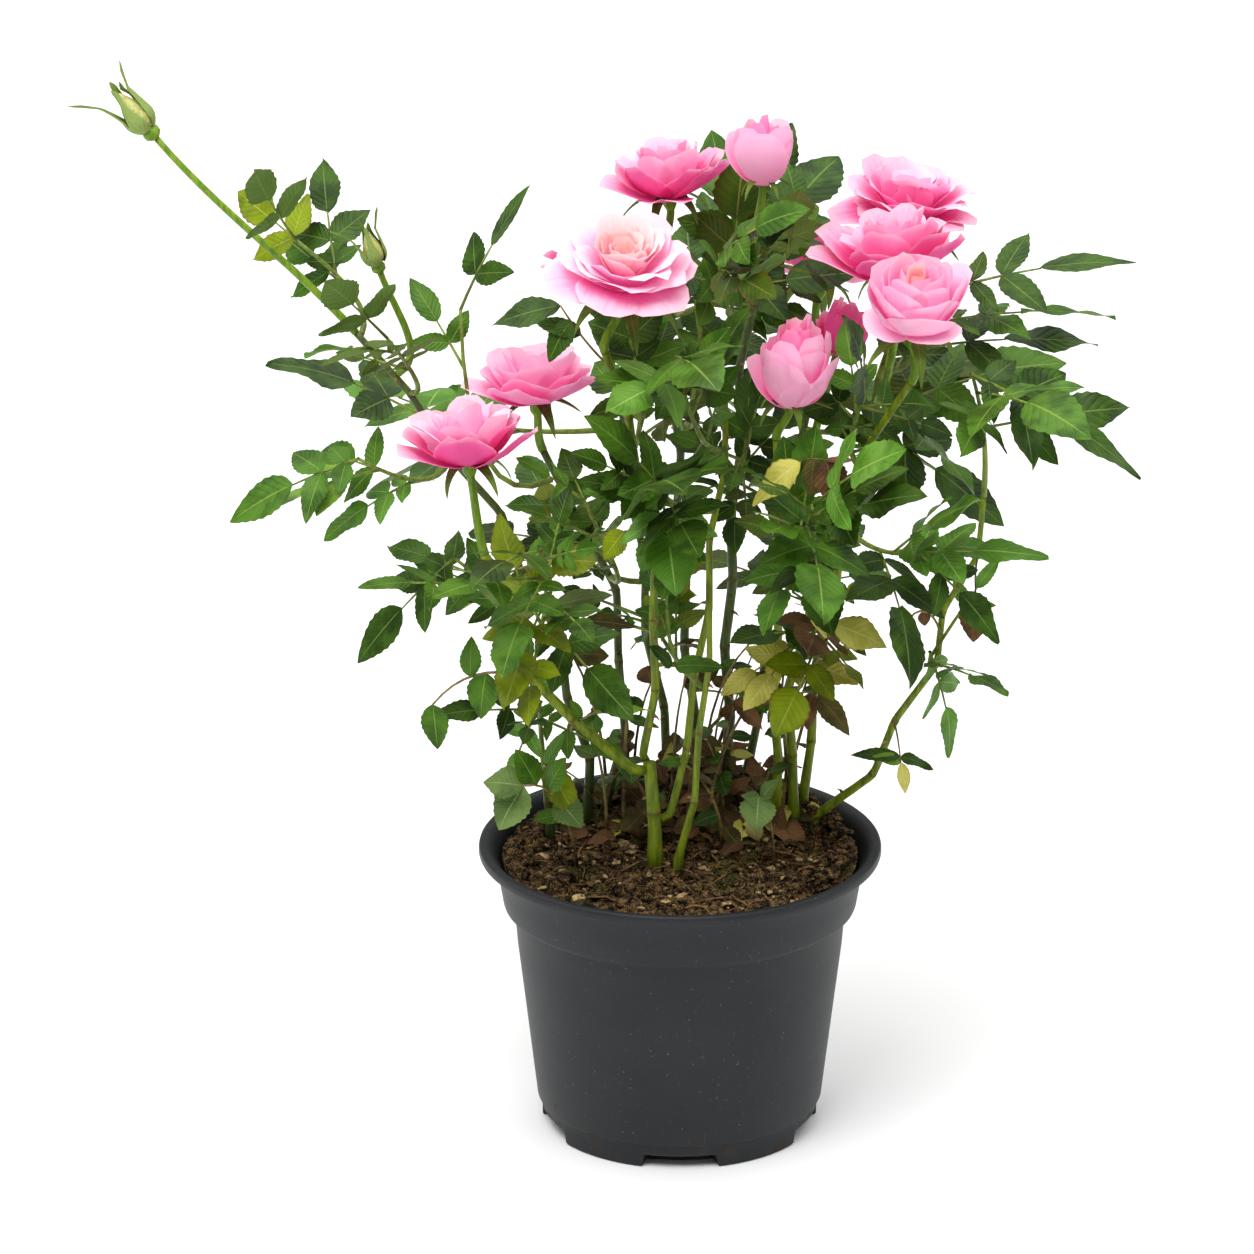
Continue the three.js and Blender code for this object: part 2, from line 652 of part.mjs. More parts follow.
// A leaf in its place: its root, its frame and its leaflets, each with its root, turn and size
// in the leaf's own plane, where x runs along the stalk.
function layLeaf(root, along, size, roll) {
  const outward = new THREE.Vector3(root.x, root.y, 0).multiplyScalar(LEAF.outwards);
  const facing = vec(LEAF.light).add(outward).applyAxisAngle(along, roll);
  const end = LEAF.stalk * size;
  const pair = [-1, 1].map((side) => (
    { root: LEAF.pairAt * end, turn: side * LEAF.pairAngle, length: LEAF.pairSize * size }
  ));
  const leaflets = [...pair, { root: end, turn: 0, length: size }];
  return { root, frame: frameFrom(along, facing), size, end, leaflets };
}

// Height of the drooping surface that a leaf lies on.
function leafHeight(leaf, x, y) {
  return -(LEAF.droop * x * x + LEAF.sideDroop * y * y) / (2 * leaf.size);
}

function onLeaf(leaf, [x, y], lift = 0) {
  return inFrame(leaf.root, leaf.frame, x, y, leafHeight(leaf, x, y) + lift);
}

// A leaflet's kite in the leaf's plane: root, one side, tip, other side.
function leafletOutline({ root, turn, length }) {
  const half = LEAF.width * length / 2;
  const middle = LEAF.widestAt * length;
  const [c, s] = [Math.cos(turn), Math.sin(turn)];
  const kite = [[0, 0], [middle, -half], [length, 0], [middle, half]];
  return kite.map(([a, b]) => [root + a * c - b * s, a * s + b * c]);
}

// The outline of stalk and leaflets as one line round, from the root and back to it.
function leafOutline(leaf) {
  const half = LEAF.stalkWidth / 2;
  const [right, left, end] = leaf.leaflets.map((piece) => leafletOutline(piece).slice(1));
  const joint = LEAF.pairAt * leaf.end;
  return [
    [0, -half], [joint - half, -half], ...right, [joint + 2 * half, -half],
    [leaf.end, -half], ...end, [leaf.end, half],
    [joint + 2 * half, half], ...left, [joint - half, half], [0, half],
  ];
}

// A leaf's closed plate: its outline extruded by its thickness and bent onto its surface.
function leafGeometry(leaf) {
  const shape = new THREE.Shape(leafOutline(leaf).map(([x, y]) => new THREE.Vector2(x, y)));
  const plate = new THREE.ExtrudeGeometry(shape, { depth: LEAF.thickness, bevelEnabled: false });
  const place = plate.attributes.position;
  for (let i = 0; i < place.count; i += 1) {
    const lift = place.getZ(i) - LEAF.thickness / 2;
    const point = onLeaf(leaf, [place.getX(i), place.getY(i)], lift);
    place.setXYZ(i, point.x, point.y, point.z);
  }
  return plate;
}

// True if a point stays nearer to its own heart than to any other and above the pot.
function keepsToSpace(point, own, hearts) {
  return point.z > LEAF.lowest && hearts.every((other) => {
    const nearer = point.distanceToSquared(other) - point.distanceToSquared(own);
    return other === own || nearer > 2 * LEAF.cellGap * other.distanceTo(own);
  });
}

// True if a round limb point, with its radius, comes within reach of a leaf's leaflets.
function touchesLimb(leaf, { point, radius }) {
  const offset = point.clone().sub(leaf.root);
  const reach = radius + LEAF.limbGap;
  const [x, y] = [offset.dot(leaf.frame.x), offset.dot(leaf.frame.y)];
  if (Math.abs(offset.dot(leaf.frame.z) - leafHeight(leaf, x, y)) > reach) {
    return false;
  }
  return leaf.leaflets.some(({ root, turn, length }) => {
    const along = (x - root) * Math.cos(turn) + y * Math.sin(turn);
    const across = Math.abs(y * Math.cos(turn) - (x - root) * Math.sin(turn));
    return along > -reach && along < length + reach && across < LEAF.width * length / 2 + reach;
  });
}

// True if a point lies within a bloom's rounded body, or in the open way in front of it.
function touchesBloom(point, bloom) {
  const offset = point.clone().sub(bloom.centre);
  const depth = offset.dot(bloom.face);
  const across = Math.sqrt(Math.max(0, offset.lengthSq() - depth * depth));
  const before = offset.dot(bloom.outlook);
  const beside = Math.sqrt(Math.max(0, offset.lengthSq() - before * before));
  return Math.hypot(across / bloom.wide, depth / bloom.deep) < 1
    || (before > 0 && before < bloom.open && beside < bloom.wide - BLOOM.skirt);
}

// A shoot: its stem from the cane to its heart, and the leaves that find room round it.
function growShoot(mass, canes) {
  const heart = vec(mass.heart);
  const { start, way } = leavePoint(canes[mass.cane], mass.at, heart);
  const reach = start.distanceTo(heart);
  const bend = start.clone().addScaledVector(way, 0.45 * reach);
  return { ...mass, heart, curve: new THREE.QuadraticBezierCurve3(start, bend, heart) };
}

// The leaflets' corners and the middles of their edges, at which a leaf is tried for room.
function checkPoints(leaf) {
  return leaf.leaflets.flatMap((piece) => leafletOutline(piece).flatMap((corner, i, outline) => {
    const next = outline[(i + 1) % outline.length];
    const middle = corner.map((value, k) => (value + next[k]) / 2);
    return [onLeaf(leaf, corner), onLeaf(leaf, middle)];
  }));
}

// True if one of a leaf's check points lies in another leaf's leaflets.
function crosses(leaf, other) {
  return checkPoints(leaf).some((point) => touchesLimb(other, { point, radius: LEAF.thickness }));
}

// The leaves that find room round a shoot's stem, each in a place of its own.
function growLeaves(shoot, room) {
  const leaves = [];
  const frames = framesAlong(shoot.curve, evenShares(TWIG.frameSteps));
  for (let i = 0; i < shoot.leaves; i += 1) {
    const random = seeded(shoot.seed * 100 + i);
    const frame = frames[Math.round((1 - TWIG.leafy * i / shoot.leaves) * TWIG.frameSteps)];
    const first = i * LEAF.goldenAngle + 2 * Math.PI * random();
    const roll = LEAF.roll * (random() - 0.5);
    const aimed = i === 0 && shoot.aim ? firstThatFits([vec(shoot.aim).normalize()], frame, 0) : null;
    const leaf = aimed ?? firstThatFits(waysOut(frame, first, i === 0), frame, roll);
    leaves.push(...(leaf ? [leaf] : []));
  }
  return leaves;

  // The largest leaf that finds room, pointing one of these ways.
  function firstThatFits(ways, frame, roll) {
    for (const scale of LEAF.sizesTried) {
      for (const along of ways) {
        const root = frame.point.clone().addScaledVector(along, -LEAF.rootSunk);
        const leaf = layLeaf(root, along, shoot.size * scale, roll);
        if (findsRoom(leaf, shoot, leaves, room)) {
          return leaf;
        }
      }
    }
    return null;
  }
}

// The ways that a leaf may point: at each spread from the stem, in even turns from the first.
function waysOut(frame, first, isEnd) {
  const spreads = isEnd ? [LEAF.endSpread, ...LEAF.spreadsTried] : LEAF.spreadsTried;
  return spreads.flatMap((spread) => evenShares(LEAF.turnsTried).slice(1).map((share) => {
    const turn = first + 2 * Math.PI * share;
    const aside = Math.sin(spread);
    return inFrame(
      new THREE.Vector3(), frame, Math.cos(spread), aside * Math.cos(turn), aside * Math.sin(turn),
    );
  })).filter((along) => along.z > LEAF.steepest);
}

// True if a leaf keeps to its shoot's space, clear of blooms, limbs and the shoot's other leaves.
function findsRoom(leaf, shoot, leaves, { hearts, limbs, blooms }) {
  return checkPoints(leaf).every((point) => keepsToSpace(point, shoot.heart, hearts)
      && !blooms.some((bloom) => touchesBloom(point, bloom)))
    && !leaves.some((other) => crosses(leaf, other) || crosses(other, leaf))
    && !limbs.some((limb) => limb.owner !== shoot.name && touchesLimb(leaf, limb));
}

function shootGeometry(shoot, leaves) {
  const stem = taperedTube(shoot.curve, TWIG.radius, TWIG.sides, evenShares(TWIG.segments));
  return geometryOf(largestPiece(fuse([stem, ...leaves.map(leafGeometry)])));
}

// Round points along a limb's middle line, close enough to stand for the limb.
function limbPoints(owner, curve, radii) {
  const steps = Math.ceil(curve.getLength() / CANE.coreStep);
  return evenShares(steps).map((share) => (
    { owner, point: curve.getPoint(share), radius: THREE.MathUtils.lerp(...radii, share) }
  ));
}

// ---------------------------------------------------------------- the plant in its pot

// The room that a bloom takes: its rounded body, and a way left open to the front or the back.
function bloomRoom({ centre, face, width, kind }) {
  const [wide, deep] = BLOOM_ROOM[kind].map((share) => share * width + BLOOM.skirt);
  const forwards = Math.sign(face.y) * Math.cos(BLOOM.outlook);
  const outlook = new THREE.Vector3(0, forwards, Math.sin(BLOOM.outlook));
  return { centre, face, wide, deep, outlook, open: width < BLOOM.smallest ? 0 : BLOOM.openWay };
}

function addCanes(group) {
  const canes = {};
  Object.entries(CANES).forEach(([name, sizes], i) => {
    canes[name] = growCane(sizes, canes, CANE.seed + i);
    canes[name].mesh = addPart(group, name, caneGeometry(canes[name]), COLOURS.cane, 0.55);
  });
  return canes;
}

function addFlowers(group, canes) {
  const flowers = Object.entries(FLOWERS).map(([name, row]) => ({ name, ...growFlower(row, canes) }));
  for (const flower of flowers) {
    const colour = flower.kind === 'bud' ? COLOURS.bud : COLOURS.bloom;
    addPart(group, flower.name, flowerGeometry(flower), colour, 0.6);
  }
  return flowers;
}

function addFoliage(group, canes, flowers) {
  const shoots = Object.entries(MASSES).map(([name, row]) => ({ name, ...growShoot(row, canes) }));
  const room = {
    hearts: shoots.map((shoot) => shoot.heart),
    limbs: [
      ...Object.entries(canes).flatMap(([name, cane]) => limbPoints(name, cane.curve, cane.radius)),
      ...flowers.flatMap((flower) => limbPoints(flower.name, flower.curve, flower.radius)),
      ...shoots.flatMap((shoot) => limbPoints(shoot.name, shoot.curve, TWIG.radius)),
    ],
    blooms: flowers.map(bloomRoom),
  };
  for (const shoot of shoots) {
    addPart(group, shoot.name, shootGeometry(shoot, growLeaves(shoot, room)), COLOURS.leaf, 0.5);
  }
}

function buildPlant() {
  const group = new THREE.Group();
  addPart(group, 'pot', potGeometry(), COLOURS.pot, 0.6);
  addPart(group, 'soil', soilGeometry(), COLOURS.soil, 0.95);
  const canes = addCanes(group);
  const flowers = addFlowers(group, canes);
  addFoliage(group, canes, flowers);
  return group;
}

const group = buildPlant();
export default group;
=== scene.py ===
"""A potted miniature rose bush in leaf and bloom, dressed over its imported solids.

Lengths in the tables and the layout are millimetres, with +Z up and the front towards -Y.
Meshes are made in metres by piece().
"""
from math import ceil, cos, pi, radians, sin

import bpy
import numpy as np
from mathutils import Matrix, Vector


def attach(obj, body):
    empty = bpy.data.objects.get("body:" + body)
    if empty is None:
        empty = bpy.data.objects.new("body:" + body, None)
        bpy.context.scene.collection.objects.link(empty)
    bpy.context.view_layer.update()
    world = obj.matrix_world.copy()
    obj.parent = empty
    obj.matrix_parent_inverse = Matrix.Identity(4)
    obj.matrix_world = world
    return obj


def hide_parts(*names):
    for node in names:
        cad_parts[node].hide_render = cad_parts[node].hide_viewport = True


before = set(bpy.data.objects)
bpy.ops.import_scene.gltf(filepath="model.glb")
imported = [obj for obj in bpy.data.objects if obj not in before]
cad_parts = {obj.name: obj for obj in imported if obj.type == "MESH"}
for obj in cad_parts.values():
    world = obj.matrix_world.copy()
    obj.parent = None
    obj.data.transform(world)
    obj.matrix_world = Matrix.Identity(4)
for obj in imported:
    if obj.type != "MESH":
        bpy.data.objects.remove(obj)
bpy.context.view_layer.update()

MM = 0.001
UP = np.array([0.0, 0.0, 1.0])
# The gap between a shoot and what carries it, and the way that a limb's first frame lifts to.
CLEAR = 0.3
SIDEWAYS = np.array([0.3, -0.8, 0.5])
# The map of blades: a face starts at start and side, and is long by wide; its back lies shifted.
BAKE_MAP = "OFBake"
MAP = dict(start=0.02, long=0.44, side=0.04, wide=0.92, shift=0.5)

# ---------------------------------------------------------------- sizes shared with the solids

POT = dict(height=96, wall=1.7, floor=6, lip_radius=65, lip_height=3.6, band_top=60.3,
           band_bottom=57, band_drop=20.7, body_top=53.8, body_bottom=46.3, foot_radius=44.7,
           foot_height=9, notches=5, notch_half=radians(15.5), notch_height=4.2, notch_depth=7)
SOIL = dict(level=90.5, heaps=[(8, 34, 24, 10), (-8, -15, 13, 2.5), (35, 18, 12, 1.8)],
            lump=0.5, pitch=9, edge_fall=2.5, foot_clear=0.6)
CANE = dict(sides=6, internode=24, first_rise=3, core_step=2.5, edge_clear=0.15, seed=500)
TWIG = dict(radius=(1.15, 0.6), frame_steps=20, leafy=0.62)
LEAF = dict(stalk=0.92, pair_at=0.6, pair_size=0.86, pair_angle=radians(60), width=0.74,
            widest_at=0.45, thickness=0.9, droop=0.17, side_droop=0.2, light=(-0.1, -0.5, 1),
            outwards=1 / 150, roll=radians(50), end_spread=radians(20),
            golden=radians(137.5), root_sunk=0.6, sizes=(1, 0.86, 0.74, 0.62),
            spreads=(radians(58), radians(84), radians(34)), turns=8, steepest=-0.45,
            cell_gap=0.6, limb_gap=0.8, lowest=105)
BLOOM = dict(skirt=1.5, radius=(1.5, 1.25), bud_radius=(1.3, 1), outlook=radians(20),
             open_way=90, smallest=20)

# foot in the soil, or the cane, share and way it forks from; tip; bow; lean; radius; kink
CANES = {
    "cane_front_cut": ((-8, -16), (-10, -14, 129), (0, 0), 1, (2.3, 2.1), 0.4),
    "cane_front_left": (("cane_front_cut", 0.93, None), (-62, -31, 206),
                        (-9, 1), 0.75, (1.8, 1.5), 1.6),
    "cane_front_bloom": (("cane_front_cut", 0.99, (-0.5, 1)), (-24, -28, 272),
                         (5, 4), 2, (1.4, 1.3), 0.9),
    "cane_front_right": (("cane_front_cut", 0.42, (1, 0.4)), (14, 6, 246),
                         (1, -4), 0.6, (1.35, 1), 1.4),
    "cane_front_dry": ((-1, -19), (9, -24, 190), (2, 0), 0.8, (1.3, 0.9), 0.8),
    "cane_right_straight": ((31, 14), (30, -13, 238), (0, 0), 1.1, (1.6, 1.2), 0.8),
    "cane_right_front": ((37, 17), (72, -17, 258), (-8, 3), 1.5, (1.65, 1.2), 1.5),
    "cane_right_back": ((40, 26), (72, 48, 262), (-2, 2), 1.3, (1.6, 1.2), 1.2),
    "cane_right_low": ((43, 15), (96, -6, 216), (7, 0), 0.8, (1.45, 0.9), 2.6),
    "cane_left_long": ((-30, 24), (-103, 9, 266), (7, 3), 1.5, (1.6, 1.1), 1.8),
    "cane_left_bloom": ((-24, 30), (-44, 22, 222), (9, 3), 2.2, (1.5, 1.2), 1.4),
    "cane_left_stub": ((-42, 15), (-44, 13, 116), (0, 0), 1, (1.3, 1.1), 0.2),
    "cane_back_middle": ((15, 40), (24, 30, 292), (-2, 3), 1, (1.8, 1.3), 1.3),
    "cane_back_left": ((5, 43), (-5, 48, 280), (0, 4), 1, (1.6, 1.2), 1.2),
    "cane_far_right": ((22, 48), (44, 82, 240), (2, 3), 1.2, (1.5, 1.2), 1.4),
    "cane_far_left": ((-4, 50), (-24, 80, 240), (0, 5), 1.2, (1.5, 1.2), 1.4),
}
DARK_CANES = ("cane_left_long", "cane_left_bloom", "cane_left_stub", "cane_back_middle",
              "cane_back_left", "cane_far_right", "cane_far_left")

# cane; share it forks at; middle of the bloom; the way it looks; width; kind
FLOWERS = {
    "flower_front": ("cane_front_bloom", 1, (-18, -31, 302), (0.05, -0.3, 0.95), 48, "open"),
    "flower_back_left": ("cane_back_left", 1, (-5, 48, 307), (-0.15, -0.1, 1), 36, "open"),
    "flower_top": ("cane_back_middle", 1, (26, 26, 320), (0, -0.12, 1), 23, "cup"),
    "flower_right_back": ("cane_right_back", 1, (73, 56, 296), (0.1, -0.02, 1), 47, "open"),
    "flower_right_middle": ("cane_right_back", 0.8, (67, 9, 294), (-0.1, -0.15, 1), 42, "open"),
    "flower_right_front": ("cane_right_front", 1, (73, -30, 290), (0.02, -0.45, 0.9), 40, "cup"),
    "flower_middle": ("cane_right_straight", 1, (35, -20, 263), (0.05, -0.35, 1), 31, "cup"),
    "flower_left_front": ("cane_front_left", 1, (-68, -37, 245), (-0.15, -0.35, 1), 37, "open"),
    "flower_left_back": ("cane_left_bloom", 1, (-47, 19, 248), (-0.1, -0.05, 1), 37, "open"),
    "flower_hidden": ("cane_right_straight", 0.78, (52, 24, 262), (0.3, 0.2, 1), 19, "cup"),
    "flower_far_right": ("cane_far_right", 1, (47, 90, 266), (0.15, 0.5, 0.85), 42, "open"),
    "flower_far_left": ("cane_far_left", 1, (-22, 86, 267), (-0.1, 0.45, 0.87), 36, "open"),
    "bud_long": ("cane_left_long", 1, (-171, 14, 336), (-0.62, 0, 0.78), 9.5, "bud"),
    "bud_small": ("cane_left_long", 0.9, (-97, 2, 295), (-0.3, -0.1, 1), 7.5, "bud"),
}
HIP_DEPTH = dict(open=0.34, cup=0.5, bud=0.95)
BLOOM_ROOM = dict(open=(0.56, 0.38), cup=(0.56, 0.54), bud=(1.3, 3))

# cane; share; heart; leaves; length of an end leaflet; seed; the way the end leaf points
MASSES = {
    "front_top": ("cane_front_right", 0.88, (-2, -35, 273), 5, 30, 214, (0.95, -0.2, 0.35)),
    "front_middle": ("cane_front_right", 0.74, (-8, -45, 233), 5, 29, 26, None),
    "front_right": ("cane_right_straight", 0.74, (41, -47, 228), 4, 28, 78, None),
    "front_left": ("cane_front_left", 0.7, (-44, -52, 215), 4, 27, 209, None),
    "core": ("cane_back_middle", 0.56, (21, 10, 227), 5, 26, 168, None),
    "top": ("cane_back_middle", 0.86, (12, -3, 296), 5, 28, 123, None),
    "top_right": ("cane_back_middle", 0.94, (38, 30, 293), 3, 26, 27, (0.2, 0, 1)),
    "upper_left": ("cane_left_bloom", 0.82, (-14, 8, 255), 5, 27, 85, None),
    "right_upper": ("cane_right_back", 0.88, (88, 20, 278), 3, 34, 2, (1, 0, 0.3)),
    "right_tip": ("cane_right_low", 1, (91, -23, 263), 4, 33, 211, (1, -0.1, -0.42)),
    "right_middle": ("cane_right_front", 0.78, (58, -4, 249), 5, 27, 136, None),
    "right_droop": ("cane_right_front", 0.66, (75, -30, 206), 4, 32, 251, (0.75, -0.3, -0.6)),
    "right_yellow": ("cane_right_front", 0.5, (44, -19, 173), 4, 25, 242, None),
    "right_low": ("cane_right_low", 0.54, (80, -5, 163), 2, 22, 286, (0.35, 0, -1)),
    "left_tip": ("cane_left_long", 0.99, (-122, 12, 296), 4, 25, 10, (-0.85, -0.1, 0.5)),
    "left_upper": ("cane_left_long", 0.86, (-93, -7, 270), 4, 26, 120, (-0.1, -0.2, -0.9)),
    "left_crest": ("cane_left_bloom", 0.92, (-70, 12, 273), 4, 26, 18, (0.35, 0, 0.9)),
    "left_side": ("cane_left_long", 0.72, (-102, -20, 234), 4, 25, 33, (-1, 0, -0.35)),
    "left_low": ("cane_front_left", 0.56, (-72, -18, 200), 4, 26, 169, (-0.7, -0.1, -0.6)),
    "left_foot": ("cane_left_stub", 1, (-45, -5, 146), 4, 24, 55, (-0.4, -0.1, -0.8)),
    "left_inner": ("cane_left_bloom", 0.62, (-31, -8, 216), 5, 27, 198, None),
    "low_middle": ("cane_front_dry", 0.66, (-10, 8, 171), 5, 24, 91, None),
    "back_left": ("cane_far_left", 0.8, (-82, 54, 222), 4, 29, 53, None),
    "back_middle": ("cane_back_left", 0.62, (7, 82, 244), 4, 29, 264, None),
    "back_right": ("cane_far_right", 0.8, (70, 59, 225), 4, 30, 27, None),
    "back_top": ("cane_back_left", 0.88, (25, 63, 273), 4, 28, 90, None),
    "back_foot_left": ("cane_far_left", 0.45, (-39, 60, 181), 4, 26, 57, None),
    "back_foot_right": ("cane_far_right", 0.42, (37, 68, 167), 4, 26, 233, None),
}

# ---------------------------------------------------------------- vectors and curves


def unit(v):
    """Vectors drawn to length 1 along the last axis."""
    v = np.asarray(v, float)
    return v / np.maximum(np.linalg.norm(v, axis=-1, keepdims=True), 1e-12)


def dot(a, b):
    """Dot product along the last axis."""
    return (a * b).sum(axis=-1)


def frame_from(along, lift):
    """Rows x, y, z: x runs along, z is as near to lift as it can be."""
    x = unit(along)
    y = unit(np.cross(lift, x))
    return np.stack([x, y, np.cross(x, y)], axis=-2)


def seeded(seed):
    """A stream of numbers from 0 to 1, the same on each run: each state is 16807 times the last."""
    state = (seed * 48271 + 11) % 2147483647
    while True:
        state = state * 16807 % 2147483647
        yield state / 2147483647


def turn_about(v, axis, angle):
    """v turned about a unit axis: v cos a + (axis x v) sin a + axis (axis . v)(1 - cos a)."""
    return v * cos(angle) + np.cross(axis, v) * sin(angle) + axis * (axis @ v) * (1 - cos(angle))


class Curve:
    """A Bezier curve or a run of straight lines, which gives its point at a share from 0 to 1."""

    def __init__(self, points, bezier):
        self.points = np.array(points, float)
        self.bezier = bezier
        steps = np.linalg.norm(np.diff(self.points, axis=0), axis=1)
        self.shares = np.concatenate([[0], np.cumsum(steps)]) / steps.sum()
        fine = self.point(np.linspace(0, 1, 201)) if bezier else self.points
        self.length = np.linalg.norm(np.diff(fine, axis=0), axis=1).sum()

    def point(self, share):
        """Points at shares: Bernstein sums of the points, or along the straight run."""
        share = np.asarray(share, float)
        if not self.bezier:
            return np.stack([np.interp(share, self.shares, c) for c in self.points.T], axis=-1)
        t = share[..., None]
        if len(self.points) == 3:
            weights = [(1 - t) ** 2, 2 * t * (1 - t), t ** 2]
        else:
            weights = [(1 - t) ** 3, 3 * t * (1 - t) ** 2, 3 * t ** 2 * (1 - t), t ** 3]
        return sum(w * p for w, p in zip(weights, self.points))

    def tangent(self, share):
        """Unit way at a share: from just before it to just after it."""
        share = np.asarray(share, float)
        return unit(self.point(np.minimum(share + 1e-4, 1)) - self.point(np.maximum(share - 1e-4, 0)))

    def frames(self, shares):
        """Frames at shares, each turned as little as can be from the last."""
        lift = SIDEWAYS
        made = []
        for tangent in self.tangent(shares):
            made.append(frame_from(tangent, lift))
            lift = made[-1][2]
        return np.array(made)


# ---------------------------------------------------------------- the layout rule


def inner_radius(z):
    """Inner radius of the pot's wall at a height: two straight tapers that meet at the band."""
    base = POT["height"] - POT["band_drop"]
    low = (z - POT["foot_height"]) / (base - POT["foot_height"])
    high = (z - base) / (POT["height"] - base)
    body = POT["body_bottom"] + (POT["body_top"] - POT["body_bottom"]) * low
    band = POT["band_bottom"] + (POT["band_top"] - POT["band_bottom"]) * high
    return (body if z < base else band) - POT["wall"]


def soil_height(x, y):
    """Compost height: a level, bell-shaped heaps, small waves and a fall to the pot's wall."""
    height = SOIL["level"] + 0 * x
    for mx, my, spread, rise in SOIL["heaps"]:
        height = height + rise * np.exp(-((x - mx) ** 2 + (y - my) ** 2) / (2 * spread ** 2))
    p = SOIL["pitch"]
    height = height + SOIL["lump"] * np.sin(x / p * 2.1 + 1) * np.cos(y / p * 1.7)
    return height - SOIL["edge_fall"] * (np.hypot(x, y) / inner_radius(SOIL["level"])) ** 8


def tube_edge(cane, at, side):
    """How far a cane's six-sided surface lies from its middle line towards side."""
    curve = cane["curve"]
    shares = curve.shares
    i = min(np.searchsorted(shares, at), len(shares) - 1)
    blend = (at - shares[i - 1]) / (shares[i] - shares[i - 1])
    frames = curve.frames(shares)
    theta = np.arange(CANE["sides"]) * 2 * pi / CANE["sides"]
    low, high = [np.outer(np.sin(theta), frames[k][1]) + np.outer(np.cos(theta), frames[k][2])
                 for k in (i - 1, i)]
    r0, r1 = [np.interp(shares[k], [0, 1], cane["radius"]) for k in (i - 1, i)]
    corners = low * r0 * (1 - blend) + high * r1 * blend
    across = np.cross(curve.tangent(at), side)
    a, b = corners @ side, corners @ across
    a2, b2 = np.roll(a, -1), np.roll(b, -1)
    share = b / (b - b2 + 1e-12)
    hit = a + (a2 - a) * share
    return hit[(share >= 0) & (share <= 1) & (hit > 0)].max()


def leave_point(cane, at, aim):
    """Where a shoot leaves a cane for its aim, clear of it, and the way it sets off."""
    point, tangent = cane["curve"].point(at), cane["curve"].tangent(at)
    if at >= 1:
        return point + tangent * CLEAR, tangent
    side = aim - point
    side = unit(side - tangent * (side @ tangent))
    return point + side * (tube_edge(cane, at, side) + CLEAR + CANE["edge_clear"]), side


def grow_cane(row, canes, seed):
    """A cane's straight runs from node to node, each node a little left or right of the last."""
    start, tip, bow, lean, radius, kink = row
    tip = np.array(tip, float)
    if start[0] in canes:
        name, at, way = start
        aim = tip if way is None else canes[name]["curve"].point(at) + np.array([*way, 0])
        foot, way = leave_point(canes[name], at, aim)
    else:
        x, y = start
        foot, way = np.array([x, y, soil_height(x, y) + SOIL["foot_clear"]]), UP
    nodes = max(2, int(np.linalg.norm(tip - foot) / CANE["internode"] + 0.5))
    random = seeded(seed)
    points = [foot, foot + way * CANE["first_rise"]]
    for i in range(1, nodes + 1):
        share = i / nodes
        over, swing = share ** lean, sin(pi * share)
        kick = 0
        if i < nodes:
            kick = kink * (1 if i % 2 else -1) * (0.6 + 0.8 * next(random))
        points.append(np.array([
            foot[0] + (tip[0] - foot[0]) * over + bow[0] * swing + kick,
            foot[1] + (tip[1] - foot[1]) * over + bow[1] * swing + kick * (next(random) - 0.5),
            foot[2] + (tip[2] - foot[2]) * share]))
    return dict(curve=Curve(points, False), radius=radius, rooted=start[0] not in canes)


def grow_flower(row, canes):
    """A flower's stalk leaves the cane, then bends to meet the bloom's hip along its face."""
    cane, at, centre, face, width, kind = row
    centre, face = np.array(centre, float), unit(face)
    hip = centre - face * HIP_DEPTH[kind] * width
    start, way = leave_point(canes[cane], at, hip)
    reach = np.linalg.norm(hip - start)
    bend = [start + way * 0.35 * reach, hip - face * 0.35 * reach]
    curve = Curve([start, *bend, hip + face], True)
    radius = BLOOM["bud_radius"] if kind == "bud" else BLOOM["radius"]
    return dict(centre=centre, face=face, width=width, kind=kind, curve=curve, radius=radius)


def lay_leaf(root, along, size, roll):
    """A leaf in its place: a frame, and leaflets with their root, turn and length in its plane."""
    facing = np.array(LEAF["light"]) + np.array([root[0], root[1], 0]) * LEAF["outwards"]
    facing = turn_about(facing, along, roll)
    end = LEAF["stalk"] * size
    leaflets = [(LEAF["pair_at"] * end, side * LEAF["pair_angle"], LEAF["pair_size"] * size)
                for side in (-1, 1)]
    return dict(root=root, frame=frame_from(along, facing), size=size, end=end,
                leaflets=np.array([*leaflets, (end, 0, size)]))


def leaf_height(size, x, y):
    """Height of the drooping surface that a leaf lies on."""
    return -(LEAF["droop"] * x ** 2 + LEAF["side_droop"] * y ** 2) / (2 * size)


def check_points(leaf):
    """The corners of a leaf's kite-shaped leaflets and the middles of their edges."""
    root, turn, length = leaf["leaflets"].T[..., None]
    half, middle = LEAF["width"] * length / 2, LEAF["widest_at"] * length
    a = np.concatenate([0 * length, middle, length, middle], axis=1)
    b = np.concatenate([0 * length, -half, 0 * length, half], axis=1)
    a = np.concatenate([a, (a + np.roll(a, -1, 1)) / 2], axis=1)
    b = np.concatenate([b, (b + np.roll(b, -1, 1)) / 2], axis=1)
    x = (root + a * np.cos(turn) - b * np.sin(turn)).ravel()
    y = (a * np.sin(turn) + b * np.cos(turn)).ravel()
    local = np.stack([x, y, leaf_height(leaf["size"], x, y)], axis=-1)
    return leaf["root"] + local @ leaf["frame"]


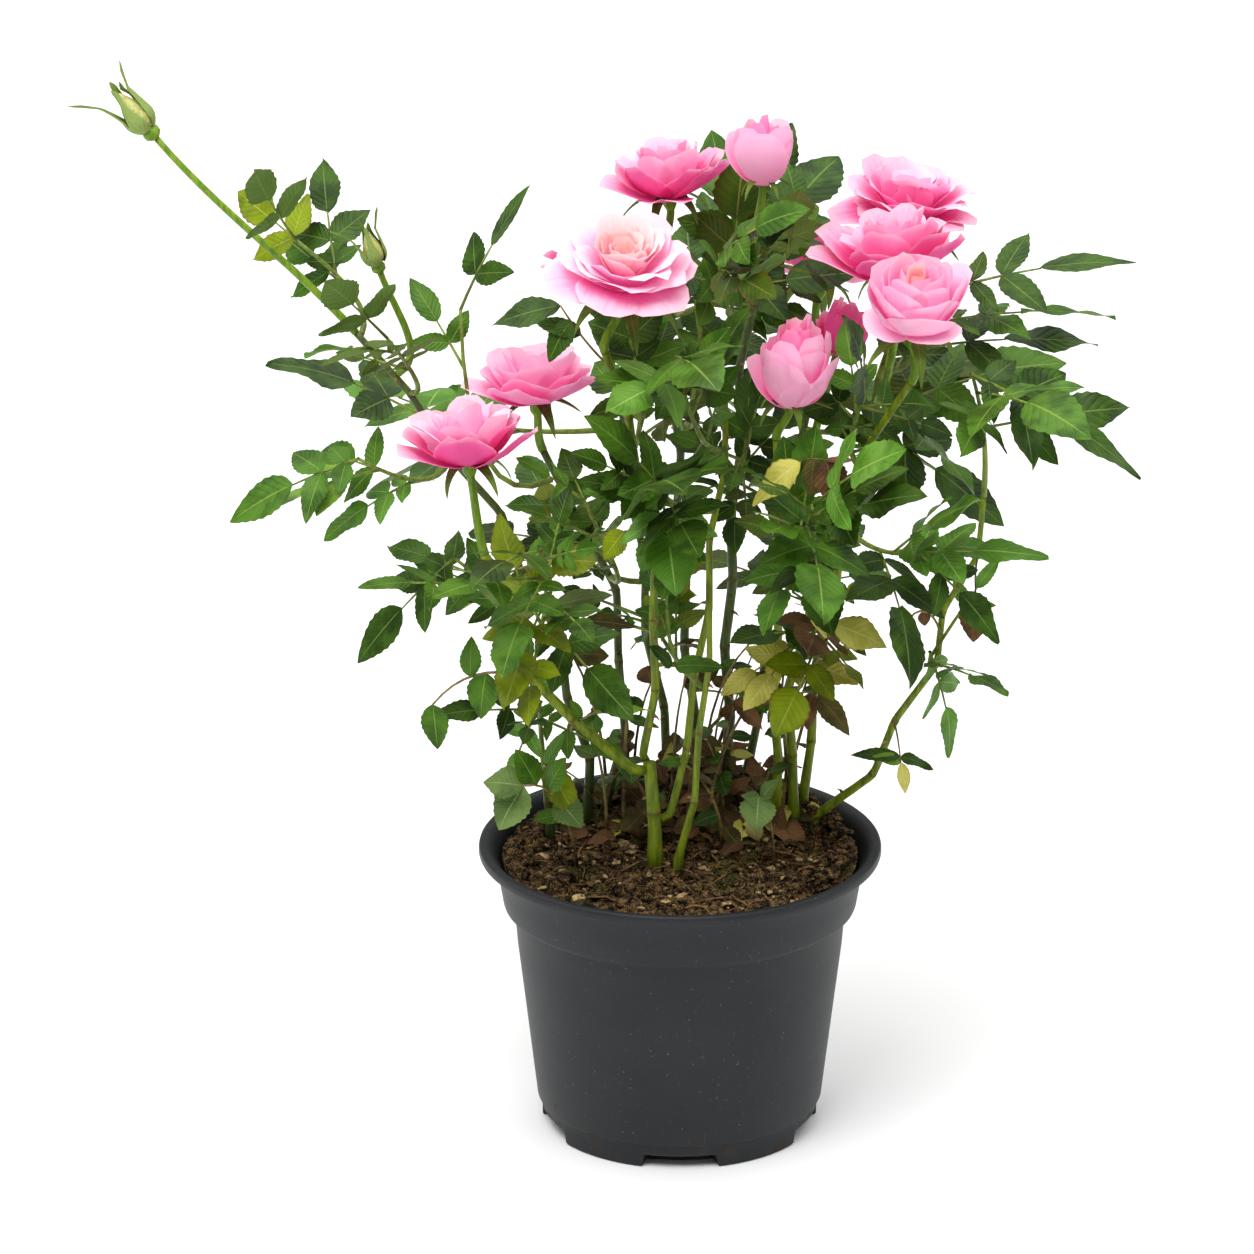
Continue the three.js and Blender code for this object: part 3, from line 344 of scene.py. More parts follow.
def touches(leaf, points, radii):
    """True if any round point comes within reach of a leaf's leaflets."""
    x, y, z = ((points - leaf["root"]) @ leaf["frame"].T).T
    reach = radii + LEAF["limb_gap"]
    near = np.abs(z - leaf_height(leaf["size"], x, y)) <= reach
    if not near.any():
        return False
    x, y, reach = x[near], y[near], (reach[near] if np.ndim(reach) else reach)
    root, turn, length = leaf["leaflets"].T[..., None]
    along = (x - root) * np.cos(turn) + y * np.sin(turn)
    across = np.abs(y * np.cos(turn) - (x - root) * np.sin(turn))
    half = LEAF["width"] * length / 2
    inside = (along > -reach) & (along < length + reach) & (across < half + reach)
    return bool(inside.any())


def in_bloom(points, room):
    """True if any point lies in a bloom's rounded body or in the open way before it."""
    offset = points[:, None] - room["centre"]
    depth = dot(offset, room["face"])
    across = np.sqrt(np.maximum(0, dot(offset, offset) - depth ** 2))
    before = dot(offset, room["outlook"])
    beside = np.sqrt(np.maximum(0, dot(offset, offset) - before ** 2))
    body = np.hypot(across / room["wide"], depth / room["deep"]) < 1
    way = (before > 0) & (before < room["open"]) & (beside < room["wide"] - BLOOM["skirt"])
    return bool((body | way).any())


def ways_out(stem, first, is_end):
    """The ways that a leaf may point: at each spread from the stem, in even turns."""
    spreads = ([LEAF["end_spread"]] if is_end else []) + list(LEAF["spreads"])
    for spread in spreads:
        for k in range(1, LEAF["turns"] + 1):
            turn = first + 2 * pi * k / LEAF["turns"]
            side = stem[1] * cos(turn) + stem[2] * sin(turn)
            along = stem[0] * cos(spread) + side * sin(spread)
            if along[2] > LEAF["steepest"]:
                yield along


def finds_room(leaf, shoot, leaves, room, reach=None):
    """True if a leaf keeps to its shoot's space, clear of blooms, limbs and other leaves."""
    points = check_points(leaf)
    if points[:, 2].min() <= LEAF["lowest"]:
        return False
    others = room["hearts"][np.any(room["hearts"] != shoot["heart"], axis=1)]
    own = ((points - shoot["heart"]) ** 2).sum(-1)[:, None]
    far = ((points[:, None] - others) ** 2).sum(-1) - own
    if (far <= 2 * LEAF["cell_gap"] * np.linalg.norm(others - shoot["heart"], axis=1)).any():
        return False
    if reach is not None and np.linalg.norm(points - shoot["heart"], axis=1).max() > reach:
        return False
    if in_bloom(points, room["blooms"]):
        return False
    for other in leaves:
        if touches(other, points, LEAF["thickness"]):
            return False
        if touches(leaf, check_points(other), LEAF["thickness"]):
            return False
    free = room["owners"] != shoot["name"]
    return not touches(leaf, room["points"][free], room["radii"][free])


def grow_leaves(shoot, room):
    """The leaves that find room round a shoot's stem, the largest first, each in its own place."""
    shares = np.linspace(0, 1, TWIG["frame_steps"] + 1)
    stems, places = shoot["curve"].frames(shares), shoot["curve"].point(shares)
    leaves = []

    def first_that_fits(ways, place, roll):
        for scale in LEAF["sizes"]:
            for along in ways:
                leaf = lay_leaf(place - along * LEAF["root_sunk"], along, shoot["size"] * scale, roll)
                if finds_room(leaf, shoot, leaves, room):
                    return leaf
        return None

    for i in range(shoot["leaves"]):
        random = seeded(shoot["seed"] * 100 + i)
        step = int((1 - TWIG["leafy"] * i / shoot["leaves"]) * TWIG["frame_steps"] + 0.5)
        first = i * LEAF["golden"] + 2 * pi * next(random)
        roll = LEAF["roll"] * (next(random) - 0.5)
        leaf = None
        if i == 0 and shoot["aim"]:
            leaf = first_that_fits([unit(shoot["aim"])], places[step], 0)
        if leaf is None:
            leaf = first_that_fits(list(ways_out(stems[step], first, i == 0)), places[step], roll)
        if leaf is not None:
            leaves.append({**leaf, "stalk_from": places[step]})
    return leaves


# How long and how broad the leaflets are drawn, as shares of the solids' blades.
USUAL_SHAPE = (0.95, 1.1)
LEAF_SHAPES = {
    "front_top": (1.02, 1.1), "front_middle": (1.02, 1.15), "front_left": (0.82, 1),
    "top": (1, 1.15), "top_right": (1, 1.2), "left_inner": (0.78, 1), "low_middle": (0.62, 1),
    "right_tip": (1, 0.85), "right_upper": (1.02, 0.7), "right_droop": (1, 0.95),
    "right_low": (0.84, 0.75), "right_yellow": (0.76, 1.1), "left_tip": (0.84, 1),
    "left_upper": (0.86, 0.85), "left_crest": (0.86, 0.95), "left_side": (0.95, 1),
    "left_foot": (0.68, 0.85), "left_low": (0.88, 0.85), "back_foot_left": (0.76, 1),
    "back_foot_right": (0.76, 1),
}

# Finer twigs: how many are tried on a shoot, their sizes as shares of its leaves, and the length
# of the bare twig before the leaf.
FINER = dict(tried=8, sizes=(0.82, 0.68, 0.54, 0.42), bare=(1, 15))
# Masses that stand out against the sky carry fewer, and those in the middle of the crown more.
TRIED = {
    "core": 11, "front_top": 11, "front_middle": 11, "front_right": 10, "upper_left": 10,
    "right_middle": 9, "left_inner": 9, "low_middle": 6, "front_left": 6, "right_yellow": 8,
    "left_tip": 0, "left_upper": 1, "left_crest": 1, "left_side": 0, "right_upper": 0,
    "right_tip": 0, "right_low": 1, "left_foot": 1, "left_low": 2, "top_right": 1, "top": 6,
    "right_droop": 1, "back_left": 1, "back_foot_left": 3, "back_foot_right": 3, "back_right": 3,
}


def grow_finer(shoot, leaves, room):
    """Finer twigs between a shoot's leaves, by the same rule and no further out, each with a
    smaller leaf."""
    shares = np.linspace(0, 1, TWIG["frame_steps"] + 1)
    stems, places = shoot["curve"].frames(shares), shoot["curve"].point(shares)
    corners = np.concatenate([check_points(leaf) for leaf in leaves] or [places])
    reach = np.linalg.norm(corners - shoot["heart"], axis=1).max()
    finer = []
    for i in range(TRIED.get(shoot["name"], FINER["tried"])):
        random = seeded(shoot["seed"] * 100 + 40 + i)
        step = int((0.3 + 0.7 * next(random)) * TWIG["frame_steps"])
        ways = list(ways_out(stems[step], 2 * pi * next(random), False))
        roll = LEAF["roll"] * (next(random) - 0.5)
        bare = np.interp(next(random), [0, 1], FINER["bare"])
        tries = ((scale, along) for scale in FINER["sizes"] for along in ways)
        for scale, along in tries:
            leaf = lay_leaf(places[step] + along * bare, along, shoot["size"] * scale, roll)
            if finds_room(leaf, shoot, leaves + finer, room, reach):
                finer.append({**leaf, "stalk_from": places[step]})
                break
    return finer


def limb_points(name, curve, radii):
    """Round points along a limb, close enough to stand for it."""
    shares = np.linspace(0, 1, ceil(curve.length / CANE["core_step"]) + 1)
    return [name] * len(shares), curve.point(shares), np.interp(shares, [0, 1], radii)


def bloom_room(flower):
    """The room that a bloom takes: its rounded body and a way left open before it."""
    wide, deep = [share * flower["width"] + BLOOM["skirt"] for share in BLOOM_ROOM[flower["kind"]]]
    forwards = np.sign(flower["face"][1]) * cos(BLOOM["outlook"])
    outlook = np.array([0, forwards, sin(BLOOM["outlook"])])
    open_way = 0 if flower["width"] < BLOOM["smallest"] else BLOOM["open_way"]
    return dict(centre=flower["centre"], face=flower["face"], wide=wide, deep=deep,
                outlook=outlook, open=open_way)


def grow_plant():
    """Canes, flowers, and shoots with their leaves, by the same rule as the solids."""
    canes = {}
    for i, (name, row) in enumerate(CANES.items()):
        canes[name] = grow_cane(row, canes, CANE["seed"] + i)
    flowers = {name: grow_flower(row, canes) for name, row in FLOWERS.items()}
    shoots = {}
    for name, (cane, at, heart, leaves, size, seed, aim) in MASSES.items():
        heart = np.array(heart, float)
        start, way = leave_point(canes[cane], at, heart)
        bend = start + way * 0.45 * np.linalg.norm(heart - start)
        shoots[name] = dict(name=name, heart=heart, leaves=leaves, size=size, seed=seed, aim=aim,
                            curve=Curve([start, bend, heart], True))
    limbs = [limb_points(n, c["curve"], c["radius"]) for n, c in [*canes.items(), *flowers.items()]]
    limbs += [limb_points(n, s["curve"], TWIG["radius"]) for n, s in shoots.items()]
    rooms = [bloom_room(flower) for flower in flowers.values()]
    room = dict(
        hearts=np.array([s["heart"] for s in shoots.values()]),
        owners=np.array(sum((names for names, _, _ in limbs), [])),
        points=np.concatenate([points for _, points, _ in limbs]),
        radii=np.concatenate([radii for _, _, radii in limbs]),
        blooms={key: np.array([r[key] for r in rooms]) for key in rooms[0]},
    )
    for shoot in shoots.values():
        shoot["own"] = grow_leaves(shoot, room)
        shoot["finer"] = grow_finer(shoot, shoot["own"], room)
    return canes, flowers, shoots


# ---------------------------------------------------------------- mesh making


def grid_faces(rows, cols, wrap=False):
    """Quads of a grid of rows by cols, each running along, then across."""
    i, j = np.meshgrid(np.arange(rows - 1), np.arange(cols if wrap else cols - 1), indexing="ij")
    k = (j + 1) % cols
    quads = np.stack([i * cols + j, (i + 1) * cols + j, (i + 1) * cols + k, i * cols + k], axis=-1)
    return quads.reshape(-1, 4)


def soft_bumps(points, pitch, seed, waves=7):
    """Soft bumps of about -1 to 1: the mean of plane waves that run in random directions."""
    rng = np.random.default_rng(seed)
    ways = unit(rng.normal(size=(waves, 3)))
    return np.sin(points @ ways.T * (2 * pi / pitch) + rng.uniform(0, 2 * pi, waves)).mean(-1) * 1.8


def random_turns(count, rng):
    """Random turns: the orthogonal part of random matrices, with none mirrored."""
    turns = np.linalg.qr(rng.normal(size=(count, 3, 3)))[0]
    return turns * np.sign(np.linalg.det(turns))[:, None, None]


class Heap:
    """Copies of shapes gathered for one joined piece: vertices, faces, and map or marks."""

    def __init__(self):
        self.verts, self.faces, self.maps, self.marks, self.count = [], [], [], [], 0

    def add(self, verts, faces, uv=None, mark=None):
        """verts: copies x points x 3. faces: lists of corner rows of one copy, quads or triangles.
        uv: a place in the bake map for each corner, face list by face list."""
        copies, size = verts.shape[:2]
        shift = self.count + np.arange(copies) * size
        for k, face in enumerate(faces):
            self.faces.append((face[None] + shift[:, None, None]).reshape(-1, face.shape[1]))
            if uv is not None:
                self.maps.append(np.tile(uv[k].reshape(-1, 2), (copies, 1)))
        self.verts.append(verts.reshape(-1, 3))
        self.marks.append(np.zeros(copies * size) if mark is None else np.ravel(mark))
        self.count += copies * size

    def add_rings(self, rings, first, last, mark=None):
        """Closed bodies from rings of points (copies x rows x cols x 3), whose first and last
        rings are closed by fans round a point each (copies x 3)."""
        copies, rows, cols = rings.shape[:3]
        verts = np.concatenate([rings.reshape(copies, -1, 3), first[:, None], last[:, None]], axis=1)
        j = np.arange(cols)
        k, end = (j + 1) % cols, (rows - 1) * cols
        fans = [np.stack([np.full(cols, rows * cols), k, j], axis=-1),
                np.stack([np.full(cols, rows * cols + 1), end + j, end + k], axis=-1)]
        sides = grid_faces(rows, cols, wrap=True)[:, ::-1]
        self.add(verts, [sides, np.concatenate(fans)], None, mark)

    def add_lens(self, points, thickness):
        """A thin closed blade from each grid: a back is set behind its face, and both meet at
        its edge. Quads on both start at the same corner, so that both split along one diagonal,
        and none of the diagonals joins two points of the edge. The face takes the left half of
        the bake map and the back the right half."""
        copies, rows, cols = points.shape[:3]
        across = np.gradient(points, axis=1)
        normal = unit(np.cross(across, np.gradient(points, axis=2)))
        back = (points - normal * thickness)[:, 1:-1, 1:-1].reshape(copies, -1, 3)
        verts = np.concatenate([points.reshape(copies, -1, 3), back], axis=1)
        behind = np.arange(rows * cols).reshape(rows, cols)
        behind[1:-1, 1:-1] = rows * cols + np.arange((rows - 2) * (cols - 2)).reshape(rows - 2, -1)
        front = grid_faces(rows, cols)
        corners = [cols - 2, (rows - 2) * (cols - 1)]
        front[corners] = np.roll(front[corners], -1, axis=1)
        u, v = np.meshgrid(np.linspace(0, 1, rows), np.linspace(0, 1, cols), indexing="ij")
        spot = [MAP["start"] + MAP["long"] * u, MAP["side"] + MAP["wide"] * v]
        spot = np.stack(spot, axis=-1).reshape(-1, 2)
        turned = front[:, [0, 3, 2, 1]]
        uv = [spot[front], (spot + [MAP["shift"], 0])[turned]]
        self.add(verts, [front, behind.ravel()[turned]], uv)


def tube_points(paths, radii, sides):
    """Rings of points round paths: copies x rows x sides x 3. A ring's frame is the path's way
    there and the sideways direction that is nearest to square with it."""
    frames = frame_from(unit(np.gradient(paths, axis=1)), SIDEWAYS)
    theta = np.arange(sides) * 2 * pi / sides
    round_it = (frames[..., None, 1, :] * np.cos(theta)[:, None]
                + frames[..., None, 2, :] * np.sin(theta)[:, None])
    return paths[:, :, None] + round_it * np.asarray(radii)[..., None, None]


def add_tubes(heap, paths, radii, sides):
    """Closed tubes along paths (copies x rows x 3), with a point in the middle of each end."""
    rings = tube_points(paths, np.broadcast_to(radii, paths.shape[:2]), sides)
    heap.add_rings(rings, paths[:, 0], paths[:, -1])


def turned_about(out, side, height, turn):
    """Points from how far out, to the side and up they lie, turned round the upright axis."""
    c, s = np.cos(turn), np.sin(turn)
    return np.stack(np.broadcast_arrays(out * c - side * s, out * s + side * c, height), axis=-1)


def piece(name, heap, material, nodes, sharp=None):
    """A joined piece from a heap, in metres, that rides on the plant and stands for solids."""
    mesh = bpy.data.meshes.new(name)
    verts = np.concatenate(heap.verts) * MM
    loops = np.concatenate([f.ravel() for f in heap.faces])
    sizes = np.concatenate([np.full(len(f), f.shape[1]) for f in heap.faces])
    mesh.vertices.add(len(verts))
    mesh.vertices.foreach_set("co", verts.ravel().astype(np.float32))
    mesh.loops.add(len(loops))
    mesh.loops.foreach_set("vertex_index", loops.astype(np.int32))
    mesh.polygons.add(len(sizes))
    starts = np.concatenate([[0], np.cumsum(sizes)[:-1]])
    mesh.polygons.foreach_set("loop_start", starts.astype(np.int32))
    mesh.update(calc_edges=True)
    mesh.polygons.foreach_set("use_smooth", np.ones(len(sizes), bool))
    if heap.maps:
        layer = mesh.uv_layers.new(name=BAKE_MAP)
        layer.uv.foreach_set("vector", np.concatenate(heap.maps).ravel().astype(np.float32))
    marks = np.concatenate(heap.marks)
    if marks.any():
        layer = mesh.attributes.new("mark", "FLOAT", "POINT")
        layer.data.foreach_set("value", marks.astype(np.float32))
    if sharp is not None:
        mesh.set_sharp_from_angle(angle=radians(sharp))
    mesh.validate()
    made = bpy.data.objects.new(name, mesh)
    bpy.context.scene.collection.objects.link(made)
    mesh.materials.append(material)
    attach(made, "root")
    if nodes:
        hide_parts(*nodes)


# ---------------------------------------------------------------- materials


class Wire:
    """A shader socket that can be used in sums like a number."""

    def __init__(self, shader, socket):
        self.shader = shader
        self.socket = socket

    def math(self, operation, *values):
        """One Math node on this and other values."""
        return self.shader.make("Math", {"operation": operation}, dict(enumerate((self, *values))))

    def __add__(self, other):
        return self.math("ADD", other)

    def __mul__(self, other):
        return self.math("MULTIPLY", other)

    def __sub__(self, other):
        return self.math("SUBTRACT", other)

    def up(self, low, high):
        """0 below low, 1 above high and a smooth rise between, or a fall if low is the larger."""
        return self.shader.make("MapRange", {"interpolation_type": "SMOOTHSTEP"},
                                {0: self, 1: low, 2: high, 3: 0, 4: 1})


class Shader:
    """A material's nodes. What changes over the surface is linked; the rest is set on it."""

    def __init__(self, name, **constants):
        self.material = bpy.data.materials.new(name)
        self.material.use_nodes = True
        self.nodes = self.material.node_tree.nodes
        self.links = self.material.node_tree.links
        self.surface = self.nodes["Principled BSDF"]
        for socket, value in constants.items():
            self.surface.inputs[socket.replace("_", " ")].default_value = value

    def make(self, kind, settings=None, values=None, out=0):
        """A node by its type, its settings, then the values or links of its sockets."""
        node = self.nodes.new("ShaderNode" + kind)
        for key, setting in (settings or {}).items():
            setattr(node, key, setting)
        for key, value in (values or {}).items():
            if isinstance(value, Wire):
                self.links.new(value.socket, node.inputs[key])
            else:
                node.inputs[key].default_value = value
        return Wire(self, node.outputs[out])

    def place(self):
        """The place on the object, in millimetres."""
        place = self.make("TexCoord", out="Object")
        return self.make("VectorMath", {"operation": "SCALE"}, {0: place, "Scale": 1 / MM})

    def noise(self, vector, scale, detail, rough=0.55):
        """Soft cloudy noise from 0 to 1."""
        return self.make("TexNoise", None,
                         {"Vector": vector, "Scale": scale, "Detail": detail, "Roughness": rough})

    def mark(self):
        """The piece's own mark, from 0 to 1."""
        return self.make("Attribute", {"attribute_name": "mark"}, out="Fac")

    def mix(self, share, first, second):
        """From the first colour to the second by share, at the node's sockets for colours."""
        return self.make("Mix", {"data_type": "RGBA"}, {0: share, 6: first, 7: second}, out=2)

    def paint(self, colour, rough, bumps, strength, depth):
        """Links colour, roughness (if it varies) and bumps, whose depth is in millimetres."""
        self.links.new(colour.socket, self.surface.inputs["Base Color"])
        if rough:
            self.links.new(rough.socket, self.surface.inputs["Roughness"])
        normal = self.make("Bump", None,
                           {"Strength": strength, "Distance": depth * MM, "Height": bumps})
        self.links.new(normal.socket, self.surface.inputs["Normal"])
        return self.material


def rgb(text):
    """A colour from six hex digits, as the linear values that a shader reads."""
    values = [int(text[i:i + 2], 16) / 255 for i in (0, 2, 4)]
    return (*[v / 12.92 if v < 0.04045 else ((v + 0.055) / 1.055) ** 2.4 for v in values], 1)


def blade_map(shader):
    """Where a spot lies on a mapped blade: along it, out from its middle line, and on its back."""
    split = shader.make("SeparateXYZ", None, {0: shader.make("UVMap", {"uv_map": BAKE_MAP})})
    across = Wire(shader, split.socket.node.outputs[1])
    back = split.math("GREATER_THAN", MAP["shift"])
    along = (split - MAP["start"] - back * MAP["shift"]) * (1 / MAP["long"])
    return along, (across - 0.5).math("ABSOLUTE") * (2 / MAP["wide"]), back, across


def leaf_material(name, face, deep, vein, under, edge=None, rough=0.4):
    """A leaf: a pale midrib, pairs of sunken side veins with quilted skin between them, a paler
    back and, on some, a rusty edge."""
    shader = Shader(name, Specular_IOR_Level=0.16)
    along, out, back, across = blade_map(shader)
    rib = out.up(0.06, 0.015)
    wave = (along * 8 - out * 2.1 + 0.3).math("PINGPONG", 0.5)
    veins = wave.up(0.08, 0.01) * out.up(1.0, 0.75)
    vector = shader.make("CombineXYZ", None, {0: along, 1: across})
    cloud = shader.noise(shader.place(), 0.09, 3.0)
    colour = shader.mix(cloud.up(0.36, 0.62), rgb(deep), rgb(face))
    colour = shader.mix(wave.up(0.0, 0.5) * 0.25, colour, rgb(face))
    colour = shader.mix(veins * 0.16, colour, rgb(vein))
    colour = shader.mix(rib * 0.6, colour, rgb(vein))
    if edge:
        colour = shader.mix(out.up(0.86, 1.0) * 0.8, colour, rgb(edge))
    back_colour = shader.mix((rib + veins * 0.6).math("MINIMUM", 1.0), rgb(under), rgb(vein))
    colour = shader.mix(back, colour, back_colour)
    grain = shader.noise(vector, 60.0, 2.0)
    bumps = wave.up(0.0, 0.4) * 0.8 - rib * 0.8 + grain * 0.12
    return shader.paint(colour, grain * 0.12 + (rough - 0.06) + back * 0.25, bumps, 0.4, 0.35)


def petal_material(name, base, face, rim, back, glow):
    """A petal: deep at its base, pale at its rim, with fine veins that fan out, a painted highlight
    along its very edge, and a silky back.
    A little of its glow colour stands for the light that comes through it."""
    shader = Shader(name, Roughness=0.6, Specular_IOR_Level=0.12,
                    Subsurface_Weight=0.35, Subsurface_Scale=0.004,
                    Subsurface_Radius=(1.0, 0.5, 0.65),
                    Emission_Color=rgb(glow), Emission_Strength=0.13)
    along, out, behind, across = blade_map(shader)
    fan = shader.make("CombineXYZ", None, {0: along * 1.6, 1: across * 22})
    streak = shader.noise(fan, 1.0, 3.0, 0.6)
    soft = shader.noise(shader.make("CombineXYZ", None, {0: along, 1: across}), 3.0, 2.0)
    level = along + streak * 0.35 + soft * 0.2 - 0.27
    colour = shader.mix(level.up(0.12, 0.62), rgb(base), rgb(face))
    colour = shader.mix((level + out * 0.12).up(0.62, 1.0), colour, rgb(rim))
    # The pale hem along a petal's edge and tip is partly its own pale margin and partly a painted
    # highlight where the edge catches the light.
    pale_hem_and_edge_highlight = (out.up(0.9, 1.0) + along.up(0.93, 1.0)).math("MINIMUM", 1.0)
    colour = shader.mix(pale_hem_and_edge_highlight * 0.6, colour, rgb(rim))
    reverse = shader.mix(level.up(0.2, 0.95), rgb(back), rgb(face))
    colour = shader.mix(behind, colour, reverse)
    return shader.paint(colour, None, streak * 0.6 + soft, 0.35, 0.25)


def cane_material(name, skin, shade, scar):
    """A cane: waxy skin in long streaks, small pale specks, and corky marks at its nodes."""
    shader = Shader(name, Specular_IOR_Level=0.25)
    place = shader.place()
    long_way = shader.make("VectorMath", {"operation": "MULTIPLY"}, {0: place, 1: (1, 1, 0.16)})
    streak = shader.noise(long_way, 0.55, 4.0, 0.6)
    speck = shader.noise(place, 1.6, 2.0).up(0.66, 0.72)
    colour = shader.mix(streak.up(0.35, 0.65), rgb(shade), rgb(skin))
    colour = shader.mix(speck * 0.35, colour, rgb("b9a877"))
    mark = shader.mark()
    worn = (mark + shader.noise(place, 1.1, 3.0) * 0.7 - 0.35).up(0.25, 0.6)
    colour = shader.mix(worn, colour, rgb(scar))
    return shader.paint(colour, streak * 0.2 + 0.32 + worn * 0.3, streak + worn * 1.5, 0.4, 0.25)


def plain_material(name, light, dark, scale, rough):
    """A mottled, slightly rough finish: two colours in clouds with fine grain over them."""
    shader = Shader(name, Specular_IOR_Level=0.35)
    place = shader.place()
    cloud = shader.noise(place, scale, 4.0, 0.6)
    grain = shader.noise(place, scale * 4, 3.0)
    colour = shader.mix((cloud * 0.7 + grain * 0.3).up(0.38, 0.62), rgb(dark), rgb(light))
    return shader.paint(colour, grain * 0.2 + (rough - 0.1), cloud + grain * 0.6, 0.5, 0.3)


def pot_material():
    """Grey moulded plastic: faint mottle, fine long scratches, dust specks and soil traces."""
    shader = Shader("pot_plastic", Specular_IOR_Level=0.3)
    place = shader.place()
    parts = shader.make("SeparateXYZ", None, {0: place})
    height = Wire(shader, parts.socket.node.outputs[2])
    cloud = shader.noise(place, 0.035, 4.0)
    level = shader.make("VectorMath", {"operation": "MULTIPLY"}, {0: place, 1: (0.1, 0.1, 1.6)})
    upright = shader.make("VectorMath", {"operation": "MULTIPLY"}, {0: place, 1: (1.5, 1.5, 0.05)})
    rings = shader.noise(level, 0.9, 3.0, 0.7)
    scuffs = shader.noise(upright, 0.8, 4.0, 0.7).up(0.62, 0.72) * cloud.up(0.42, 0.6)
    dust = shader.noise(place, 0.9, 2.0).up(0.70, 0.74)
    traces = shader.noise(place, 0.12, 5.0, 0.7)
    low = height.up(22.0, 2.0)
    brim = height.up(88.0, 96.0)
    dirt = (traces + low * 0.16 + brim * 0.06).up(0.66, 0.78)
    colour = shader.mix(cloud.up(0.3, 0.7), rgb("16191c"), rgb("1d2023"))
    colour = shader.mix(scuffs * 0.4, colour, rgb("50565a"))
    colour = shader.mix(dust * 0.3, colour, rgb("8d8a80"))
    colour = shader.mix(dirt * 0.55, colour, rgb("43372b"))
    rough = cloud * 0.1 + 0.44 + scuffs * 0.12 + dirt * 0.3 + dust * 0.2
    bumps = rings * 0.25 + cloud * 0.6 - scuffs * 0.25 + dirt * 0.6 + dust * 0.5
    return shader.paint(colour, rough, bumps, 0.3, 0.25)


def soil_material():
    """Damp compost: dark and light crumbs, a few tan grains and a little moss. Its near-black is
    partly the damp compost's own colour and partly painted shade between the crumbs.
    """
    shader = Shader("compost", Specular_IOR_Level=0.2)
    place = shader.place()
    cloud = shader.noise(place, 0.35, 6.0, 0.7)
    grain = shader.noise(place, 2.1, 4.0, 0.7)
    # The near-black 070301 is partly damp compost and partly painted shade that stands for the deep
    # shade between crumbs.
    colour = shader.mix((cloud * 0.5 + grain * 0.5).up(0.46, 0.6), rgb("070301"), rgb("9c794c"))
    moss = shader.noise(place, 0.06, 2.0).up(0.56, 0.64) * grain.up(0.46, 0.56)
    colour = shader.mix(moss * 0.6, colour, rgb("5d6420"))
    colour = shader.mix(grain.up(0.64, 0.7) * 0.7, colour, rgb("9a8058"))
    return shader.paint(colour, grain * 0.2 + 0.75, grain + cloud, 0.9, 1.0)


# ---------------------------------------------------------------- pot and compost


def make_pot():
    """The pot: a profile turned round in 240 steps, whose underside rises at five notches."""
    top = POT["height"]
    band = top - POT["band_drop"]
    lip, foot = top - POT["lip_height"], POT["foot_height"]
    inside, lip_radius = inner_radius, POT["lip_radius"]
    core = POT["foot_radius"] - POT["notch_depth"]
    profile = [
        (0, 0, 0), (core - 0.3, 0, 0), (core, 0, 0.06), (core + 0.15, 0, 1), (41, 0, 1),
        (POT["foot_radius"] - 0.7, 0, 1), (POT["foot_radius"], 0.7, 1), (44.8, 4.6, 0.1),
        (44.9, foot - 1.6, 0), (45.3, foot - 0.9, 0), (46.0, foot - 0.5, 0), (46.35, foot + 0.3, 0),
        (47.6, 20, 0), (50.2, 42, 0), (52.6, 62, 0), (53.5, band - 2, 0), (53.8, band - 1, 0),
        (54.4, band - 0.5, 0), (56.3, band - 0.1, 0), (56.9, band + 0.35, 0), (57.2, band + 1.2, 0),
        (58.3, 83, 0), (59.9, lip - 1.2, 0), (60.4, lip - 0.35, 0), (61.4, lip, 0),
        (64.1, lip + 0.1, 0), (64.75, lip + 0.45, 0), (lip_radius, lip + 1.1, 0),
        (lip_radius, top - 1.2, 0), (64.8, top - 0.45, 0), (64.2, top, 0),
        (inside(top) + 4.2, top, 0), (inside(top) + 3.2, top - 0.4, 0),
        (inside(top) + 1.5, top - 2.2, 0), (inside(top) + 0.3, top - 4.4, 0),
        (inside(88), 88, 0), (inside(band + 1), band + 1, 0), (inside(band - 1), band - 1, 0),
        (inside(40), 40, 0), (inside(POT["floor"]), POT["floor"], 0), (0, POT["floor"], 0),
    ]
    radius, height, cut = np.array(profile, float).T[..., None]
    steps = 240
    theta = -pi / 2 + np.arange(steps) * 2 * pi / steps
    pitch = 2 * pi / POT["notches"]
    off = np.abs((theta + pi / 2 + pitch / 2) % pitch - pitch / 2)
    notch = np.clip((POT["notch_half"] - off) / 0.02 + 0.5, 0, 1) * POT["notch_height"]
    z = height + cut * notch
    ring = radius * (1 + 0.0012 * np.sin(2 * theta + 1) * (height / top))
    points = np.stack([ring * np.cos(theta), ring * np.sin(theta), z], axis=-1)
    heap = Heap()
    heap.add_rings(points[None, 1:-1], points[:1, 0], points[-1:, 0])
    piece("pot_shell", heap, pot_material(), ["pot"], sharp=35)


ICOSAHEDRON = np.array([
    (0, 11, 5), (0, 5, 1), (0, 1, 7), (0, 7, 10), (0, 10, 11), (1, 5, 9), (5, 11, 4), (11, 10, 2),
    (10, 7, 6), (7, 1, 8), (3, 9, 4), (3, 4, 2), (3, 2, 6), (3, 6, 8), (3, 8, 9), (4, 9, 5),
    (2, 4, 11), (6, 2, 10), (8, 6, 7), (9, 8, 1)])


